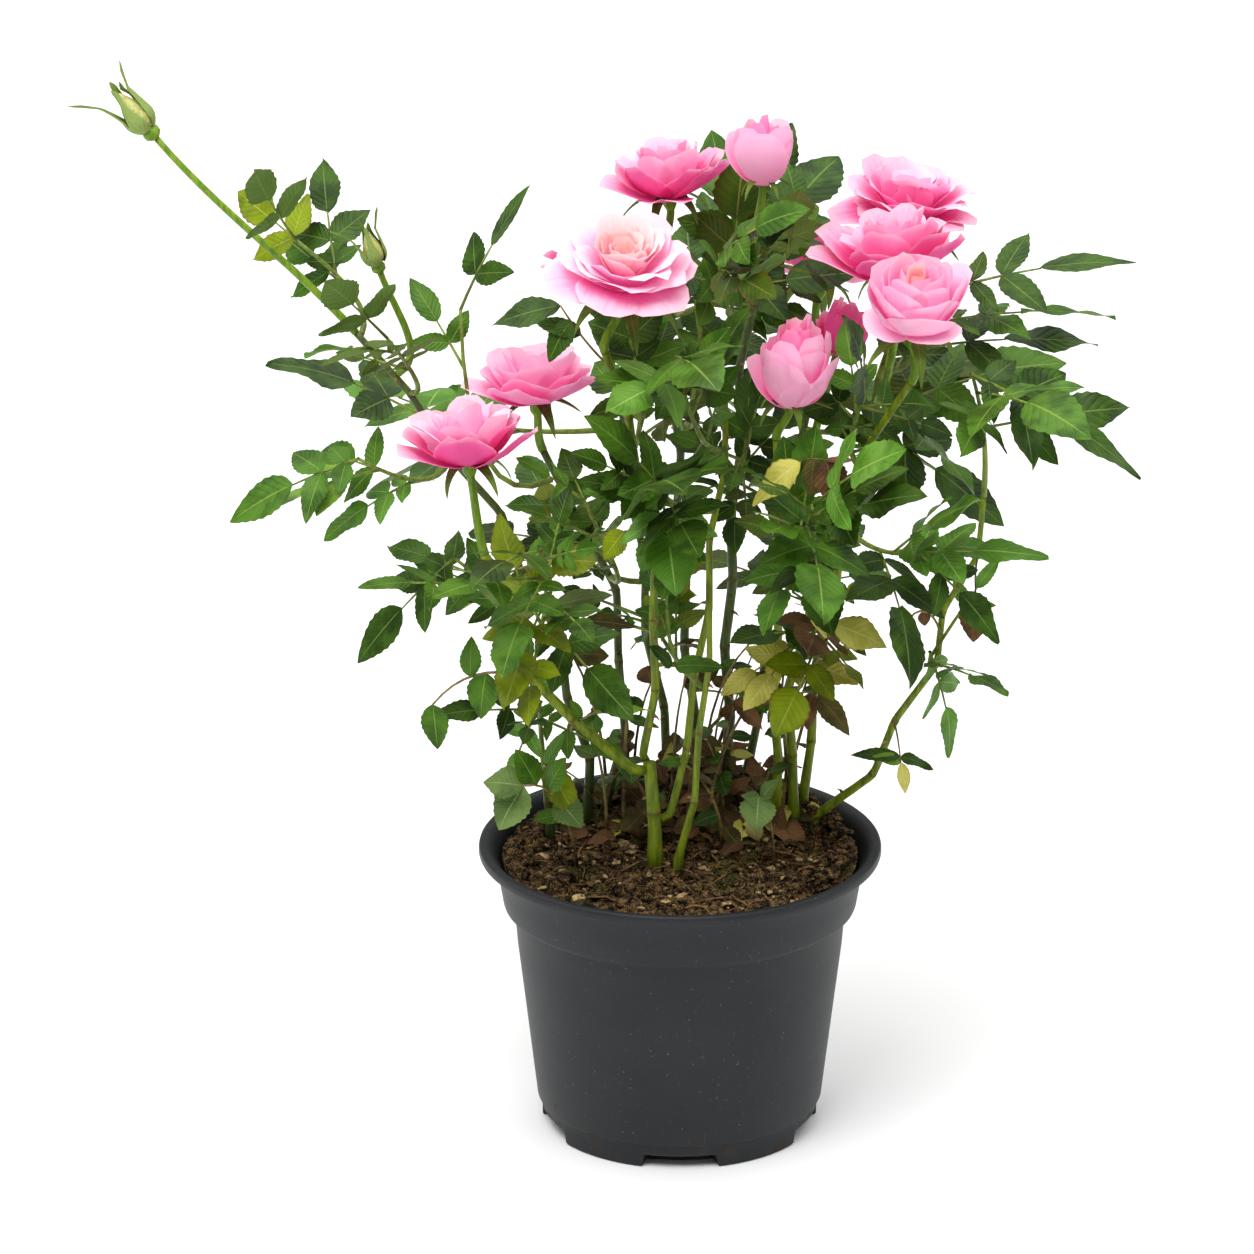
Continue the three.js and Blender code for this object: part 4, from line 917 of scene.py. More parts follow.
def crumbs(places, size, rng, flat=0.7):
    """Rough lumps of twenty faces: icosahedra with jogged corners, squashed and turned."""
    count = len(places)
    g = (1 + 5 ** 0.5) / 2
    corner = [(-1, g, 0), (1, g, 0), (-1, -g, 0), (1, -g, 0), (0, -1, g), (0, 1, g), (0, -1, -g),
              (0, 1, -g), (g, 0, -1), (g, 0, 1), (-g, 0, -1), (-g, 0, 1)]
    verts = unit(corner)[None] * rng.uniform(0.7, 1.25, (count, 12, 1))
    verts = verts * rng.uniform(0.55, 1.2, (count, 1, 3)) * np.reshape(size, (-1, 1, 1))
    verts = np.einsum("nij,nkj->nki", random_turns(count, rng), verts) * [1, 1, flat]
    return verts + places[:, None]


def on_soil(count, rng, reach=1.0):
    """Random places on the compost, even over its disc."""
    radius = (inner_radius(SOIL["level"]) - 2.5) * np.sqrt(rng.uniform(0, 1, count)) * reach
    theta = rng.uniform(0, 2 * pi, count)
    x, y = radius * np.cos(theta), radius * np.sin(theta)
    return np.stack([x, y, soil_height(x, y)], axis=-1)


def by_the_wall(count, rng):
    """Random places on the compost close to the wall, heaped up at the back and the right."""
    theta = rng.uniform(radians(-35), radians(200), count)
    radius = inner_radius(SOIL["level"]) - 2.4 - rng.gamma(1.5, 2.2, count).clip(0, 12)
    x, y = radius * np.cos(theta), radius * np.sin(theta)
    rise = rng.uniform(0.1, 1, count) * (4.8 + 2 * np.cos(theta))
    return np.stack([x, y, soil_height(x, y) + rise], axis=-1)


# How many of each lie or stand on the compost.
LITTER = dict(crumbs=1900, wall_crumbs=700, grit=420, fibres=130, fallen=150, shoots=26)


def make_compost(rng):
    """Compost: a disc of rings with soft bumps, closed below, under loose crumbs."""
    wide = inner_radius(SOIL["level"]) - CLEAR
    rings, cols = 44, 168
    share = np.linspace(1, 0, rings + 1)[:-1, None]
    theta = np.arange(cols) * 2 * pi / cols
    x, y = wide * share * np.cos(theta), wide * share * np.sin(theta)
    flat = np.stack([x, y, 0 * x], axis=-1)
    rough = soft_bumps(flat, 7, 1) * 0.9 + soft_bumps(flat, 3.4, 2) * 0.7
    sunk, deep, wall_rise = 1.1, 9, 4.2
    (mound_x, mound_y), rise, spread = (8, 36), 6, 17
    mound = rise * np.exp(-((x - mound_x) ** 2 + (y - mound_y) ** 2) / (2 * spread ** 2))
    z = soil_height(x, y) + rough - sunk + mound + wall_rise * share ** 12
    top = np.stack([x, y, z], axis=-1)
    low = np.stack([x[0] * 0.97, y[0] * 0.97, np.full(cols, SOIL["level"] - deep)], axis=-1)
    heap = Heap()
    middle = np.array([[0, 0, soil_height(0, 0) - sunk]])
    under = np.array([[0, 0, SOIL["level"] - deep]])
    heap.add_rings(np.concatenate([low[None], top])[None], under, middle)
    places = on_soil(LITTER["crumbs"], rng)
    size = rng.gamma(2.0, 0.65, len(places)).clip(0.4, 3.8)
    heap.add(crumbs(places - [0, 0, 0.4], size, rng), [ICOSAHEDRON])
    places = by_the_wall(LITTER["wall_crumbs"], rng)
    heap.add(crumbs(places, rng.uniform(0.8, 2.7, len(places)), rng), [ICOSAHEDRON])
    piece("compost", heap, soil_material(), ["soil"], sharp=50)


def make_grit(rng):
    """Paler grains, strewn over the compost."""
    heap = Heap()
    places = on_soil(LITTER["grit"], rng)
    size = rng.gamma(2.0, 0.38, len(places)).clip(0.3, 2.6)
    heap.add(crumbs(places + [0, 0, 0.4], size, rng, 0.5), [ICOSAHEDRON])
    grit = plain_material("grit_tan", "c4a878", "6b5034", 0.5, 0.8)
    piece("compost_grit", heap, grit, [], sharp=40)


def make_fibres(rng):
    """Bent fibres that lie on the compost, their middles lifted a little."""
    heap = Heap()
    count, rows = LITTER["fibres"], 7
    start = on_soil(count, rng, 0.92)
    way = rng.uniform(0, 2 * pi, count)
    length = rng.uniform(5, 19, count)
    s = np.linspace(0, 1, rows)
    bend = way[:, None] + rng.normal(0, 0.7, (count, 1)) * s + rng.normal(0, 0.25, (count, rows))
    step = length[:, None] / rows
    x = start[:, :1] + np.cumsum(np.cos(bend) * step, axis=1)
    y = start[:, 1:2] + np.cumsum(np.sin(bend) * step, axis=1)
    far = np.hypot(x, y)
    pull = np.minimum(1, (inner_radius(SOIL["level"]) - 3) / far)
    x, y = x * pull, y * pull
    z = soil_height(x, y) + 0.2 + np.sin(pi * s) * rng.uniform(0, 2.2, (count, 1))
    radii = rng.uniform(0.16, 0.5, (count, 1)) * np.interp(s, [0, 0.5, 1], [0.6, 1, 0.4])
    add_tubes(heap, np.stack([x, y, z], axis=-1), radii, 4)
    fibre = plain_material("fibre_brown", "8a683f", "2c1d12", 0.3, 0.75)
    piece("compost_fibres", heap, fibre, [])


def make_soil():
    """The compost and what lies loose on it, from one stream of random draws."""
    rng = np.random.default_rng(11)
    make_compost(rng)
    make_grit(rng)
    make_fibres(rng)


# ---------------------------------------------------------------- canes


def cane_rows(cane):
    """Shares along a cane for its rings: even ones, and close ones round each node."""
    curve = cane["curve"]
    even = np.linspace(0, 1, max(8, int(curve.length / 4)))
    nodes = curve.shares[2:-1]
    close = (nodes[:, None] + np.array([-2.6, -1.3, -0.6, 0, 0.6, 1.3, 2.6]) / curve.length).ravel()
    shares = np.unique(np.concatenate([even, close]).clip(0, 1).round(5))
    return shares, nodes


def add_cane(heap, cane, seed):
    """One cane: rings round its rounded line, swollen at nodes and at a rooted foot, with a
    rippled skin. Its mark is highest at nodes."""
    curve = cane["curve"]
    shares, nodes = cane_rows(cane)
    step = 3.0 / curve.length
    around = np.stack([curve.point((shares + k * step).clip(0, 1)) for k in (-1, -0.5, 0, 0.5, 1)])
    path = np.tensordot([0.15, 0.2, 0.3, 0.2, 0.15], around, axes=1)
    path[[0, -1]] = curve.point([0, 1])
    if cane["rooted"]:
        path[0, 2] -= 3
    away = np.abs(shares[:, None] - nodes[None]) * curve.length
    near = np.exp(-(away.min(axis=1) / 1.1) ** 2)
    radii = np.interp(shares, [0, 1], cane["radius"]) * (0.98 + 0.1 * near)
    radii = radii + 0.7 * cane["rooted"] * np.exp(-shares * curve.length / 5)
    sides = 12
    rings = tube_points(path[None], radii[None], sides)
    relief = soft_bumps(rings[0] * [1, 1, 0.35], 2.2, seed) * 0.05
    rings = path[None, :, None] + (rings - path[None, :, None]) * (1 + relief[None, ..., None])
    mark = np.concatenate([np.repeat(near * 0.5, sides), [0, 0]])
    heap.add_rings(rings, path[:1], path[-1:], mark)


def add_thorns(heap, cane, seed, count):
    """Small hooked cones that stand out from a cane and point a little down."""
    rng = np.random.default_rng(seed)
    share = rng.uniform(0.06, 0.92, count)
    middle, way = cane["curve"].point(share), cane["curve"].tangent(share)
    side = unit(np.cross(way, unit(rng.normal(size=(count, 3)))))
    radius = np.interp(share, [0, 1], cane["radius"])[:, None]
    root = middle + side * radius * 0.7
    length = rng.uniform(1.3, 2.6, (count, 1))
    tip = root + side * (radius * 0.3 + length) - way * length * 0.35
    waist = root + side * (radius * 0.3 + length * 0.45) - way * length * 0.05
    path = np.stack([root, waist, tip], axis=1)
    add_tubes(heap, path, np.array([[0.75, 0.38, 0.04]]), 5)


def make_canes(canes):
    """All canes in two pieces, bright in front and dark behind, and their thorns in another."""
    bright, dark, thorns = Heap(), Heap(), Heap()
    for i, (name, cane) in enumerate(canes.items()):
        add_cane(dark if name in DARK_CANES else bright, cane, 40 + i)
        add_thorns(thorns, cane, 90 + i, max(2, int(cane["curve"].length / 26)))
    lively = cane_material("cane_green", "80921a", "56690f", "6a4e2c")
    aged = cane_material("cane_olive", "56652c", "3b4a22", "5a4228")
    piece("canes_bright", bright, lively, [n for n in canes if n not in DARK_CANES])
    piece("canes_dark", dark, aged, list(DARK_CANES))
    thorn = plain_material("thorn_tan", "a8805a", "6b4a33", 0.8, 0.5)
    piece("thorns", thorns, thorn, [])


# ---------------------------------------------------------------- leaves

TINTS = {
    "deep": dict(face="395812", deep="162d02", vein="768e42", under="5e7c38"),
    "mid": dict(face="4b741c", deep="274904", vein="88a246", under="6e8a40"),
    "fresh": dict(face="5f8e30", deep="426e16", vein="a4c05c", under="8aa454"),
    "young": dict(face="7aa434", deep="557c18", vein="b0c85c", under="9ab052"),
    "lime": dict(face="7a8c0a", deep="566606", vein="a4ac3e", under="8c9838", edge="6b4a1c"),
    "rusty": dict(face="42580e", deep="263e05", vein="8a8a3c", under="6c7a3e", edge="6b3a1c"),
    "sage": dict(face="6a8244", deep="49622c", vein="98a870", under="869864", rough=0.6),
    "yellow": dict(face="cdc663", deep="a9a642", vein="e0d98a", under="c9c274", edge="8a6a30",
                   rough=0.55),
    "olive": dict(face="5c5226", deep="302a10", vein="84784a", under="6c6240", rough=0.7),
    "brown": dict(face="765436", deep="3a2818", vein="8e6e4a", under="74563a", rough=0.75),
}
# The tints dealt out to the leaves of a mass, in turn.
DEAL = {
    "left_side": ("fresh", "mid", "young", "mid"), "left_tip": ("deep", "mid", "deep", "lime"),
    "left_upper": ("deep", "mid", "deep", "rusty"), "left_crest": ("deep", "mid"),
    "front_left": ("mid", "lime", "deep"),
    "left_inner": ("mid", "deep", "fresh", "deep"), "low_middle": ("deep", "mid", "olive", "lime"),
    "right_yellow": ("mid", "yellow", "lime", "deep", "brown"), "right_low": ("fresh", "mid"),
    "left_foot": ("mid", "fresh", "deep"), "right_droop": ("fresh", "mid", "deep"),
    "left_low": ("mid", "deep", "mid"), "back_foot_left": ("mid", "deep", "lime"),
    "right_tip": ("mid", "deep", "mid"), "top_right": ("deep", "mid"), "right_upper": ("deep", "mid"),
    "front_top": ("mid", "deep", "mid", "fresh"), "front_middle": ("fresh", "mid", "deep"),
}
USUAL = ("deep", "mid", "deep", "mid", "rusty", "deep", "fresh", "mid")

# Rows and columns of a leaflet's grid, the depth of its teeth and its thickness; where the first
# pair and the end leaflet start and how long they are, as shares of the solids'; and the second
# pair's place and size, as shares of the leaf's, and angle.
BLADE = dict(rows=17, cols=3, teeth=0.08, thickness=0.28, starts=(0.92, 0.92, 1),
             lengths=(0.88, 0.88, 1), second_at=0.2, second_size=0.5, second_angle=radians(68))


def leaf_outline(rows, teeth):
    """Half-width of a leaflet at rows along it, as a share of its length, with forward teeth:
    a skewed arch that starts at the stalk and ends in a point, cut in by a saw wave."""
    u = np.linspace(0, 1, rows)
    arch = np.sin(pi * u ** 0.8) ** 0.78 * (1 - 0.22 * u)
    notch = (np.arange(rows) % 2) * teeth * np.interp(u, [0, 0.12, 0.9, 1], [0, 1, 1, 0])
    half = 0.4 * arch * (1 - notch)
    return u, np.maximum(half, [0.02] + [0.008] * (rows - 1))


def leaflet_grids(columns, seed):
    """Leaflets as grids: an outline laid on the leaf's drooping surface, folded up along its
    midrib, curled at its tip, waved at its edge and rolled a little about its own line."""
    roots, frames, sizes, start, turn, length, broad = columns
    rng = np.random.default_rng(seed)
    count = len(length)
    u, half = leaf_outline(BLADE["rows"], BLADE["teeth"])
    v = np.linspace(-1, 1, BLADE["cols"])
    wide = rng.uniform(0.7, 0.96, (count, 1, 1)) * broad[:, None, None]
    a = (u[:, None] + 0 * v)[None] * length[:, None, None]
    b = (half[:, None] * v)[None] * length[:, None, None] * wide
    fold = rng.uniform(0.02, 0.24, (count, 1, 1))
    curl = rng.uniform(-0.02, 0.28, (count, 1, 1))
    roll = rng.normal(0, 0.16, (count, 1, 1))
    wave = rng.uniform(0.0, 0.05, (count, 1, 1)) * length[:, None, None]
    phase = rng.uniform(0, 2 * pi, (count, 1, 1))
    edge = np.abs(v)[None, None] ** 2
    lift = fold * np.abs(b) * (1 - 0.45 * edge) - curl * a ** 2 / length[:, None, None] / 2 + roll * b
    lift = lift + wave * edge * np.sin(u[None, :, None] * 9 + phase + np.sign(v) * 1.3)
    c, s = np.cos(turn)[:, None, None], np.sin(turn)[:, None, None]
    x = start[:, None, None] + a * c - b * s
    y = a * s + b * c
    local = np.stack([x, y, leaf_height(sizes[:, None, None], x, y) + lift], axis=-1)
    return roots[:, None, None] + np.einsum("nrcj,njk->nrck", local, frames)


def leaf_arrays(leaves):
    """Each leaflet's leaf root, frame and size, and its own start, turn, length and breadth.
    Every other leaf has a second, smaller pair of leaflets."""
    rows = []
    for i, leaf in enumerate(leaves):
        start, turn, length = leaf["leaflets"].T
        share, broad = leaf["shape"]
        length = length * np.array(BLADE["lengths"]) * share
        leaflets = list(zip(start * BLADE["starts"], turn, length))
        if i % 2:
            size = BLADE["second_size"] * leaf["size"] * share
            leaflets += [(BLADE["second_at"] * leaf["end"], side * BLADE["second_angle"], size)
                         for side in (-1, 1)]
        rows += [(leaf["root"], leaf["frame"], leaf["size"], *row, broad) for row in leaflets]
    return rows


def stalk_paths(leaves):
    """A leaf's stalk: from the stem to the end leaflet's root, along the leaf's surface."""
    share = np.linspace(0, 1, 5)
    roots = np.array([leaf["root"] for leaf in leaves])
    frames = np.array([leaf["frame"] for leaf in leaves])
    sizes = np.array([leaf["size"] for leaf in leaves])[:, None]
    x = share * np.array([leaf["end"] for leaf in leaves])[:, None] * 1.02
    local = np.stack([x, 0 * x, leaf_height(sizes, x, 0) - 0.25], axis=-1)
    path = roots[:, None] + np.einsum("nrj,njk->nrk", local, frames)
    return np.concatenate([np.array([leaf["stalk_from"] for leaf in leaves])[:, None], path], axis=1)


# Small sprigs: the cane and share, or the place on the compost, that they grow from; the points
# that their stem bends to; its radius; and their leaves: share of the stem, way, length,
# breadth, how far they curl over (or up, below 0) and tint.
SPRIGS = [
    (("cane_front_bloom", 0.96), [(-30, -22, 272), (-38, -18, 284)], 0.5,
     [(1, (-1, -0.1, -0.12), 22, 0.75, 1.5, "deep"), (0.6, (-0.9, 0.2, 0.35), 15, 0.8, 1.5, "mid"),
      (0.8, (-0.5, -0.4, -0.6), 14, 1, 2, "mid")]),
    (("cane_right_low", 0.86), [(93, -10, 191), (94, -12, 184)], 0.4,
     [(1, (-0.15, -0.15, -1), 15, 1.35, 3, "brown")]),
    (("cane_right_front", 0.25), [(38, -18, 155), (42, -32, 168), (48, -38, 185)], 0.85,
     [(1, (1, -0.25, -0.25), 18, 1.35, 1.2, "yellow"), (0.62, (1, -0.2, -0.2), 15, 1.1, 2, "yellow"),
      (0.9, (-0.4, -0.3, 0.8), 8, 1, 3, "yellow"), (0.3, (-0.9, -0.3, -0.2), 7, 1, 4, "brown")]),
    (("cane_right_straight", 0.86), [(33, -34, 238), (39, -40, 242), (45, -42, 241)], 0.5,
     [(0.55, (-0.85, -0.2, -0.5), 20, 0.85, 2, "yellow"), (1, (0.25, -0.2, -1), 14, 1.4, 2, "brown"),
      (1, (1, -0.1, 0.2), 9, 0.5, 3, "brown"), (0.8, (-0.2, -0.3, -0.9), 12, 0.9, 3, "olive")]),
    ((-33, -9), [(-35, -20, 112), (-40, -32, 131), (-50, -40, 131)], 0.6,
     [(1, (-0.55, -0.3, -0.75), 16, 1.5, 2, "sage"), (1, (-0.9, 0.1, 0.15), 13, 1.4, 1, "sage"),
      (0.85, (-0.4, 0.1, 0.8), 13, 1.4, 1, "mid"), (0.7, (0.3, -0.2, 0.9), 13, 1.4, 1, "mid"),
      (0.55, (0.5, -0.5, -0.3), 12, 1.4, 2, "sage"), (0.4, (-0.8, -0.4, 0.1), 11, 1.4, 1, "mid")]),
    (("cane_left_stub", 0.98), [(-44, -18, 130), (-43, -26, 132)], 0.6,
     [(1, (0.6, -0.35, -0.75), 19, 0.95, 3, "lime"), (0.7, (0.4, -0.2, 0.9), 14, 0.8, 1, "mid")]),
    ((30, -10), [(31, -14, 106), (27, -19, 116), (25, -21, 120)], 0.5,
     [(1, (-0.1, -0.5, -0.9), 11, 1.7, 2, "sage"), (0.9, (0.5, -0.1, 0.8), 9, 1.5, 1, "sage"),
      (0.8, (-0.7, -0.2, 0.4), 8, 1.4, 1, "sage")]),
    (("cane_right_low", 0.36), [(70, 2, 133), (71, -2, 124)], 0.4,
     [(1, (0.25, -0.1, -1), 12, 0.7, 4, "yellow"), (1, (-0.7, -0.1, 0.4), 9, 0.8, 3, "young"),
      (0.9, (0.9, -0.1, -0.1), 11, 0.7, 3, "deep"), (0.9, (-1, 0, 0.15), 16, 0.6, 2, "deep")]),
    (("cane_right_low", 0.62), [(83, -5, 174), (76, -6, 184), (71, -8, 172)], 0.5,
     [(1, (0, 0, -1), 6, 1.4, 5, "brown"), (0.6, (0.2, 0, -1), 6, 1.4, 5, "brown")]),
    (("cane_front_left", 0.3), [(-33, -22, 146), (-27, -24, 150)], 0.5,
     [(1, (1, 0, 0.12), 17, 0.55, 1.2, "young"), (0.5, (-0.4, -0.2, 0.9), 8, 1, 1, "mid")]),
    (("cane_front_left", 0.5), [(-58, -16, 163), (-70, -18, 162), (-79, -20, 151)], 0.55,
     [(1, (0.1, -0.2, -1), 15, 1, 2, "mid"), (0.45, (-0.2, -0.3, -0.9), 15, 1, 2, "mid"),
      (0.6, (0, 0.4, 0.9), 13, 1, 1, "mid"), (0.3, (0.1, -0.4, 0.9), 14, 1, 1, "fresh")]),
    (("cane_front_left", 0.68), [(-45, -24, 188), (-40, -32, 191), (-31, -36, 185)], 0.55,
     [(0.35, (-0.75, -0.2, 0.6), 23, 0.85, 1.5, "sage"),
      (0.6, (0.8, -0.2, 0.4), 19, 0.8, 1.5, "sage"), (1, (0.9, -0.1, 0.1), 16, 0.6, 2, "olive")]),
    (("cane_front_left", 0.9), [(-50, -38, 205), (-41, -40, 207)], 0.45,
     [(1, (0.8, -0.2, 0.1), 15, 1.7, 1, "lime"), (0.6, (0.5, -0.2, 0.8), 17, 1.1, 1, "fresh")]),
    (("cane_front_bloom", 0.55), [(-16, -40, 217), (-18, -46, 219)], 0.45,
     [(1, (-0.55, -0.2, -0.6), 11, 1.6, 1, "lime"), (0.6, (0.7, -0.3, 0.5), 14, 1.1, 1, "mid")]),
    (("cane_front_bloom", 0.3), [(-4, -32, 168), (-2, -36, 170)], 0.45,
     [(1, (0.9, -0.2, 0.2), 15, 1, 1, "mid"), (0.8, (-0.5, -0.3, 0.7), 11, 1, 1, "deep")]),
    (("cane_front_right", 0.32), [(14, -8, 152), (17, -14, 150)], 0.45,
     [(1, (0.7, -0.2, -0.5), 13, 0.9, 3, "brown"), (0.7, (0.7, 0.1, 0.8), 10, 1, 2, "olive")]),
    (("cane_right_straight", 0.3), [(40, 2, 150), (44, -3, 147)], 0.45,
     [(1, (0.6, -0.4, -0.4), 15, 1, 3, "olive"), (0.8, (-0.2, -0.3, -0.9), 12, 1.1, 2, "brown")]),
]


def blade_row(root, way, length, broad, curl):
    """The row of a single leaf: its root, frame, size, start, turn, length and breadth."""
    frame_here = frame_from(unit(way), np.array(LEAF["light"]))
    return root, frame_here, length / curl, 0, 0, length, broad


def grow_sprigs(canes):
    """Stems and leaves of the small sprigs: each stem is a Bezier curve."""
    stems, blades = [], []
    for carrier, bends, radius, leaves in SPRIGS:
        if carrier[0] in canes:
            start = canes[carrier[0]]["curve"].point(carrier[1])
        else:
            start = np.array([*carrier, soil_height(*carrier) - 1])
        curve = Curve([start, *bends], True)
        stems.append((curve.point(np.linspace(0, 1, 10)), radius))
        for share, way, *shape, tint in leaves:
            blades.append((tint, blade_row(curve.point(share), way, *shape)))
    return stems, blades


def within(x, y, reach):
    """A place on the compost, drawn in to the reach from the pot's middle if it lies beyond."""
    pull = min(1, reach / np.hypot(x, y))
    return x * pull, y * pull


def grow_undergrowth():
    """Thin shoots between the canes: each rises from the compost and leans, with a few leaves."""
    rng = np.random.default_rng(21)
    stems, blades = [], []
    tints = ("mid", "olive", "brown", "deep", "olive", "mid", "sage")
    for i in range(LITTER["shoots"]):
        x, y = within(rng.normal(4, 20), rng.normal(24, 12), 46)
        root = np.array([x, y, soil_height(x, y) - 1])
        tall = rng.uniform(14, 62)
        lean = rng.normal(0, 0.3, 2) * tall
        bend = root + [0, 0, tall * 0.6]
        curve = Curve([root, bend, root + [*lean, tall]], True)
        stems.append((curve.point(np.linspace(0, 1, 8)), rng.uniform(0.4, 0.8)))
        for k in range(int(rng.integers(2, 5))):
            turn = rng.uniform(0, 2 * pi)
            way = (cos(turn), sin(turn), rng.uniform(-0.5, 0.5))
            shape = rng.uniform(6, 13), rng.uniform(0.8, 1.4), rng.choice([-3, 1, 2, 4])
            row = blade_row(curve.point(1 - 0.22 * k), way, *shape)
            blades.append((tints[(i + k) % len(tints)], row))
    return stems, blades


def fallen_leaves():
    """Dead leaves, curled, that lie on the compost, piled up on the heap at the back."""
    rng = np.random.default_rng(31)
    blades = []
    tints = ("brown", "olive", "brown", "yellow", "brown", "olive")
    for i in range(LITTER["fallen"]):
        far = 27 * rng.uniform(0, 1) ** 0.5
        turn = rng.uniform(0, 2 * pi)
        x, y = within(4 + far * 1.4 * cos(turn), 22 + far * sin(turn), 46)
        way = rng.normal(size=2)
        shape = rng.uniform(5, 11), rng.uniform(0.7, 1.4), rng.choice([-5, -4, -3, 3, 5])
        pile = 17 * np.exp(-((x - 9) ** 2 + (y - 38) ** 2) / (2 * 15 ** 2)) * rng.uniform(0, 1)
        root = np.array([x, y, soil_height(x, y) + rng.uniform(0.8, 3) + pile])
        blades.append((tints[i % len(tints)], blade_row(root, (*way, rng.uniform(0, 0.4)), *shape)))
    return blades


def make_foliage(shoots, canes):
    """Leaves by tint, and the twigs and stalks that carry them."""
    nodes = ["foliage_" + name for name in shoots]
    by_tint = {tint: [] for tint in TINTS}
    stems, single = grow_sprigs(canes)
    more_stems, more_leaves = grow_undergrowth()
    stems = stems + more_stems
    single = single + more_leaves + fallen_leaves()
    for name, shoot in shoots.items():
        tints = DEAL.get(name, USUAL)
        for i, leaf in enumerate(shoot["own"] + shoot["finer"]):
            shape = LEAF_SHAPES.get(name, USUAL_SHAPE)
            tint = tints[(i + shoot["seed"]) % len(tints)]
            by_tint[tint].append({**leaf, "shape": shape})
    for k, (tint, leaves) in enumerate(by_tint.items()):
        heap = Heap()
        rows = leaf_arrays(leaves) + [row for own, row in single if own == tint]
        columns = [np.array(column, float) for column in zip(*rows)]
        heap.add_lens(leaflet_grids(columns, 70 + k), BLADE["thickness"])
        material = leaf_material("leaf_" + tint, **TINTS[tint])
        piece("leaves_" + tint, heap, material, nodes, sharp=60)

    twigs = Heap()
    shares = np.linspace(0, 1, 9)
    paths = np.array([shoot["curve"].point(shares) for shoot in shoots.values()])
    add_tubes(twigs, paths, np.linspace(1.05, 0.55, 9)[None], 7)
    leaves = [leaf for shoot in shoots.values() for leaf in shoot["own"] + shoot["finer"]]
    radii = np.array([0.62, 0.58, 0.5, 0.44, 0.38, 0.3])[None]
    add_tubes(twigs, stalk_paths(leaves), radii, 5)
    material = plain_material("twig_green", "7c9436", "5c6424", 0.12, 0.5)
    piece("twigs", twigs, material, nodes)
    dry = Heap()
    for path, radius in stems:
        add_tubes(dry, path[None], np.linspace(radius, radius * 0.6, len(path))[None], 6)
    tan = plain_material("twig_tan", "93814a", "4c3a20", 0.08, 0.65)
    piece("twigs_dry", dry, tan, [])


# ---------------------------------------------------------------- blooms

# Shells of petals from the outside in: count, length, half-width, foot radius, foot height (as
# shares of the width), then the way the petal sets off and ends, in degrees above level, how
# flat it is across, how far its rim curls out, and its tint.
SHELLS = {
    "rosette": [
        (6, 0.50, 0.27, 0.05, -0.19, 38, -8, 1.5, 0.06, 0),
        (7, 0.50, 0.24, 0.05, -0.18, 42, 32, 1.4, 0.07, 1),
        (7, 0.47, 0.21, 0.04, -0.17, 46, 60, 1.3, 0.07, 1),
        (7, 0.42, 0.18, 0.035, -0.16, 52, 78, 1.2, 0.07, 2),
        (6, 0.36, 0.14, 0.03, -0.15, 58, 92, 1.1, 0.07, 2),
        (6, 0.29, 0.11, 0.02, -0.14, 62, 104, 1.0, 0.05, 3),
    ],
    "bowl": [
        (5, 0.62, 0.27, 0.05, -0.24, 4, 60, 1.25, 0.08, 0),
        (5, 0.60, 0.25, 0.05, -0.24, 17, 71, 1.25, 0.08, 0),
        (6, 0.56, 0.22, 0.04, -0.23, 33, 82, 1.2, 0.08, 1),
        (6, 0.50, 0.18, 0.035, -0.21, 49, 91, 1.1, 0.07, 2),
        (5, 0.42, 0.13, 0.02, -0.18, 58, 98, 1.0, 0.05, 2),
        (4, 0.30, 0.10, 0.015, -0.15, 66, 104, 1.0, 0.03, 3),
    ],
    "cup": [
        (3, 0.38, 0.23, 0.06, -0.30, 8, 26, 1.5, 0.03, 0),
        (4, 0.60, 0.32, 0.05, -0.32, 14, 88, 1.15, 0.04, 0),
        (5, 0.66, 0.29, 0.05, -0.33, 24, 98, 1.1, 0.04, 1),
        (5, 0.67, 0.25, 0.04, -0.33, 34, 103, 1.0, 0.03, 1),
        (4, 0.64, 0.20, 0.03, -0.32, 47, 105, 1.0, 0.02, 2),
        (4, 0.60, 0.15, 0.02, -0.31, 59, 105, 1.0, 0.02, 2),
        (3, 0.56, 0.11, 0.015, -0.30, 70, 102, 1.0, 0.01, 3),
    ],
    "goblet": [
        (3, 0.64, 0.28, 0.05, -0.46, 18, 84, 1.1, 0.06, 0),
        (4, 0.80, 0.31, 0.05, -0.46, 25, 104, 1.05, 0.04, 0),
        (5, 0.89, 0.28, 0.04, -0.46, 35, 110, 1.0, 0.035, 1),
        (5, 0.94, 0.23, 0.03, -0.45, 47, 111, 1.0, 0.03, 1),
        (5, 0.97, 0.18, 0.02, -0.44, 60, 108, 1.0, 0.025, 2),
        (4, 0.96, 0.13, 0.015, -0.42, 73, 103, 1.0, 0.02, 3),
    ],
    "egg": [
        (3, 0.89, 0.42, 0.05, -0.48, 22, 98, 1.1, 0.025, 0),
        (3, 0.94, 0.40, 0.05, -0.48, 29, 105, 1.05, 0.02, 0),
        (4, 0.95, 0.31, 0.04, -0.48, 40, 106, 1.0, 0.015, 1),
        (4, 0.96, 0.22, 0.03, -0.45, 54, 106, 1.0, 0.015, 2),
        (3, 0.93, 0.14, 0.02, -0.44, 68, 103, 1.0, 0.015, 3),
    ],
}
PETAL_THICKNESS = 0.22
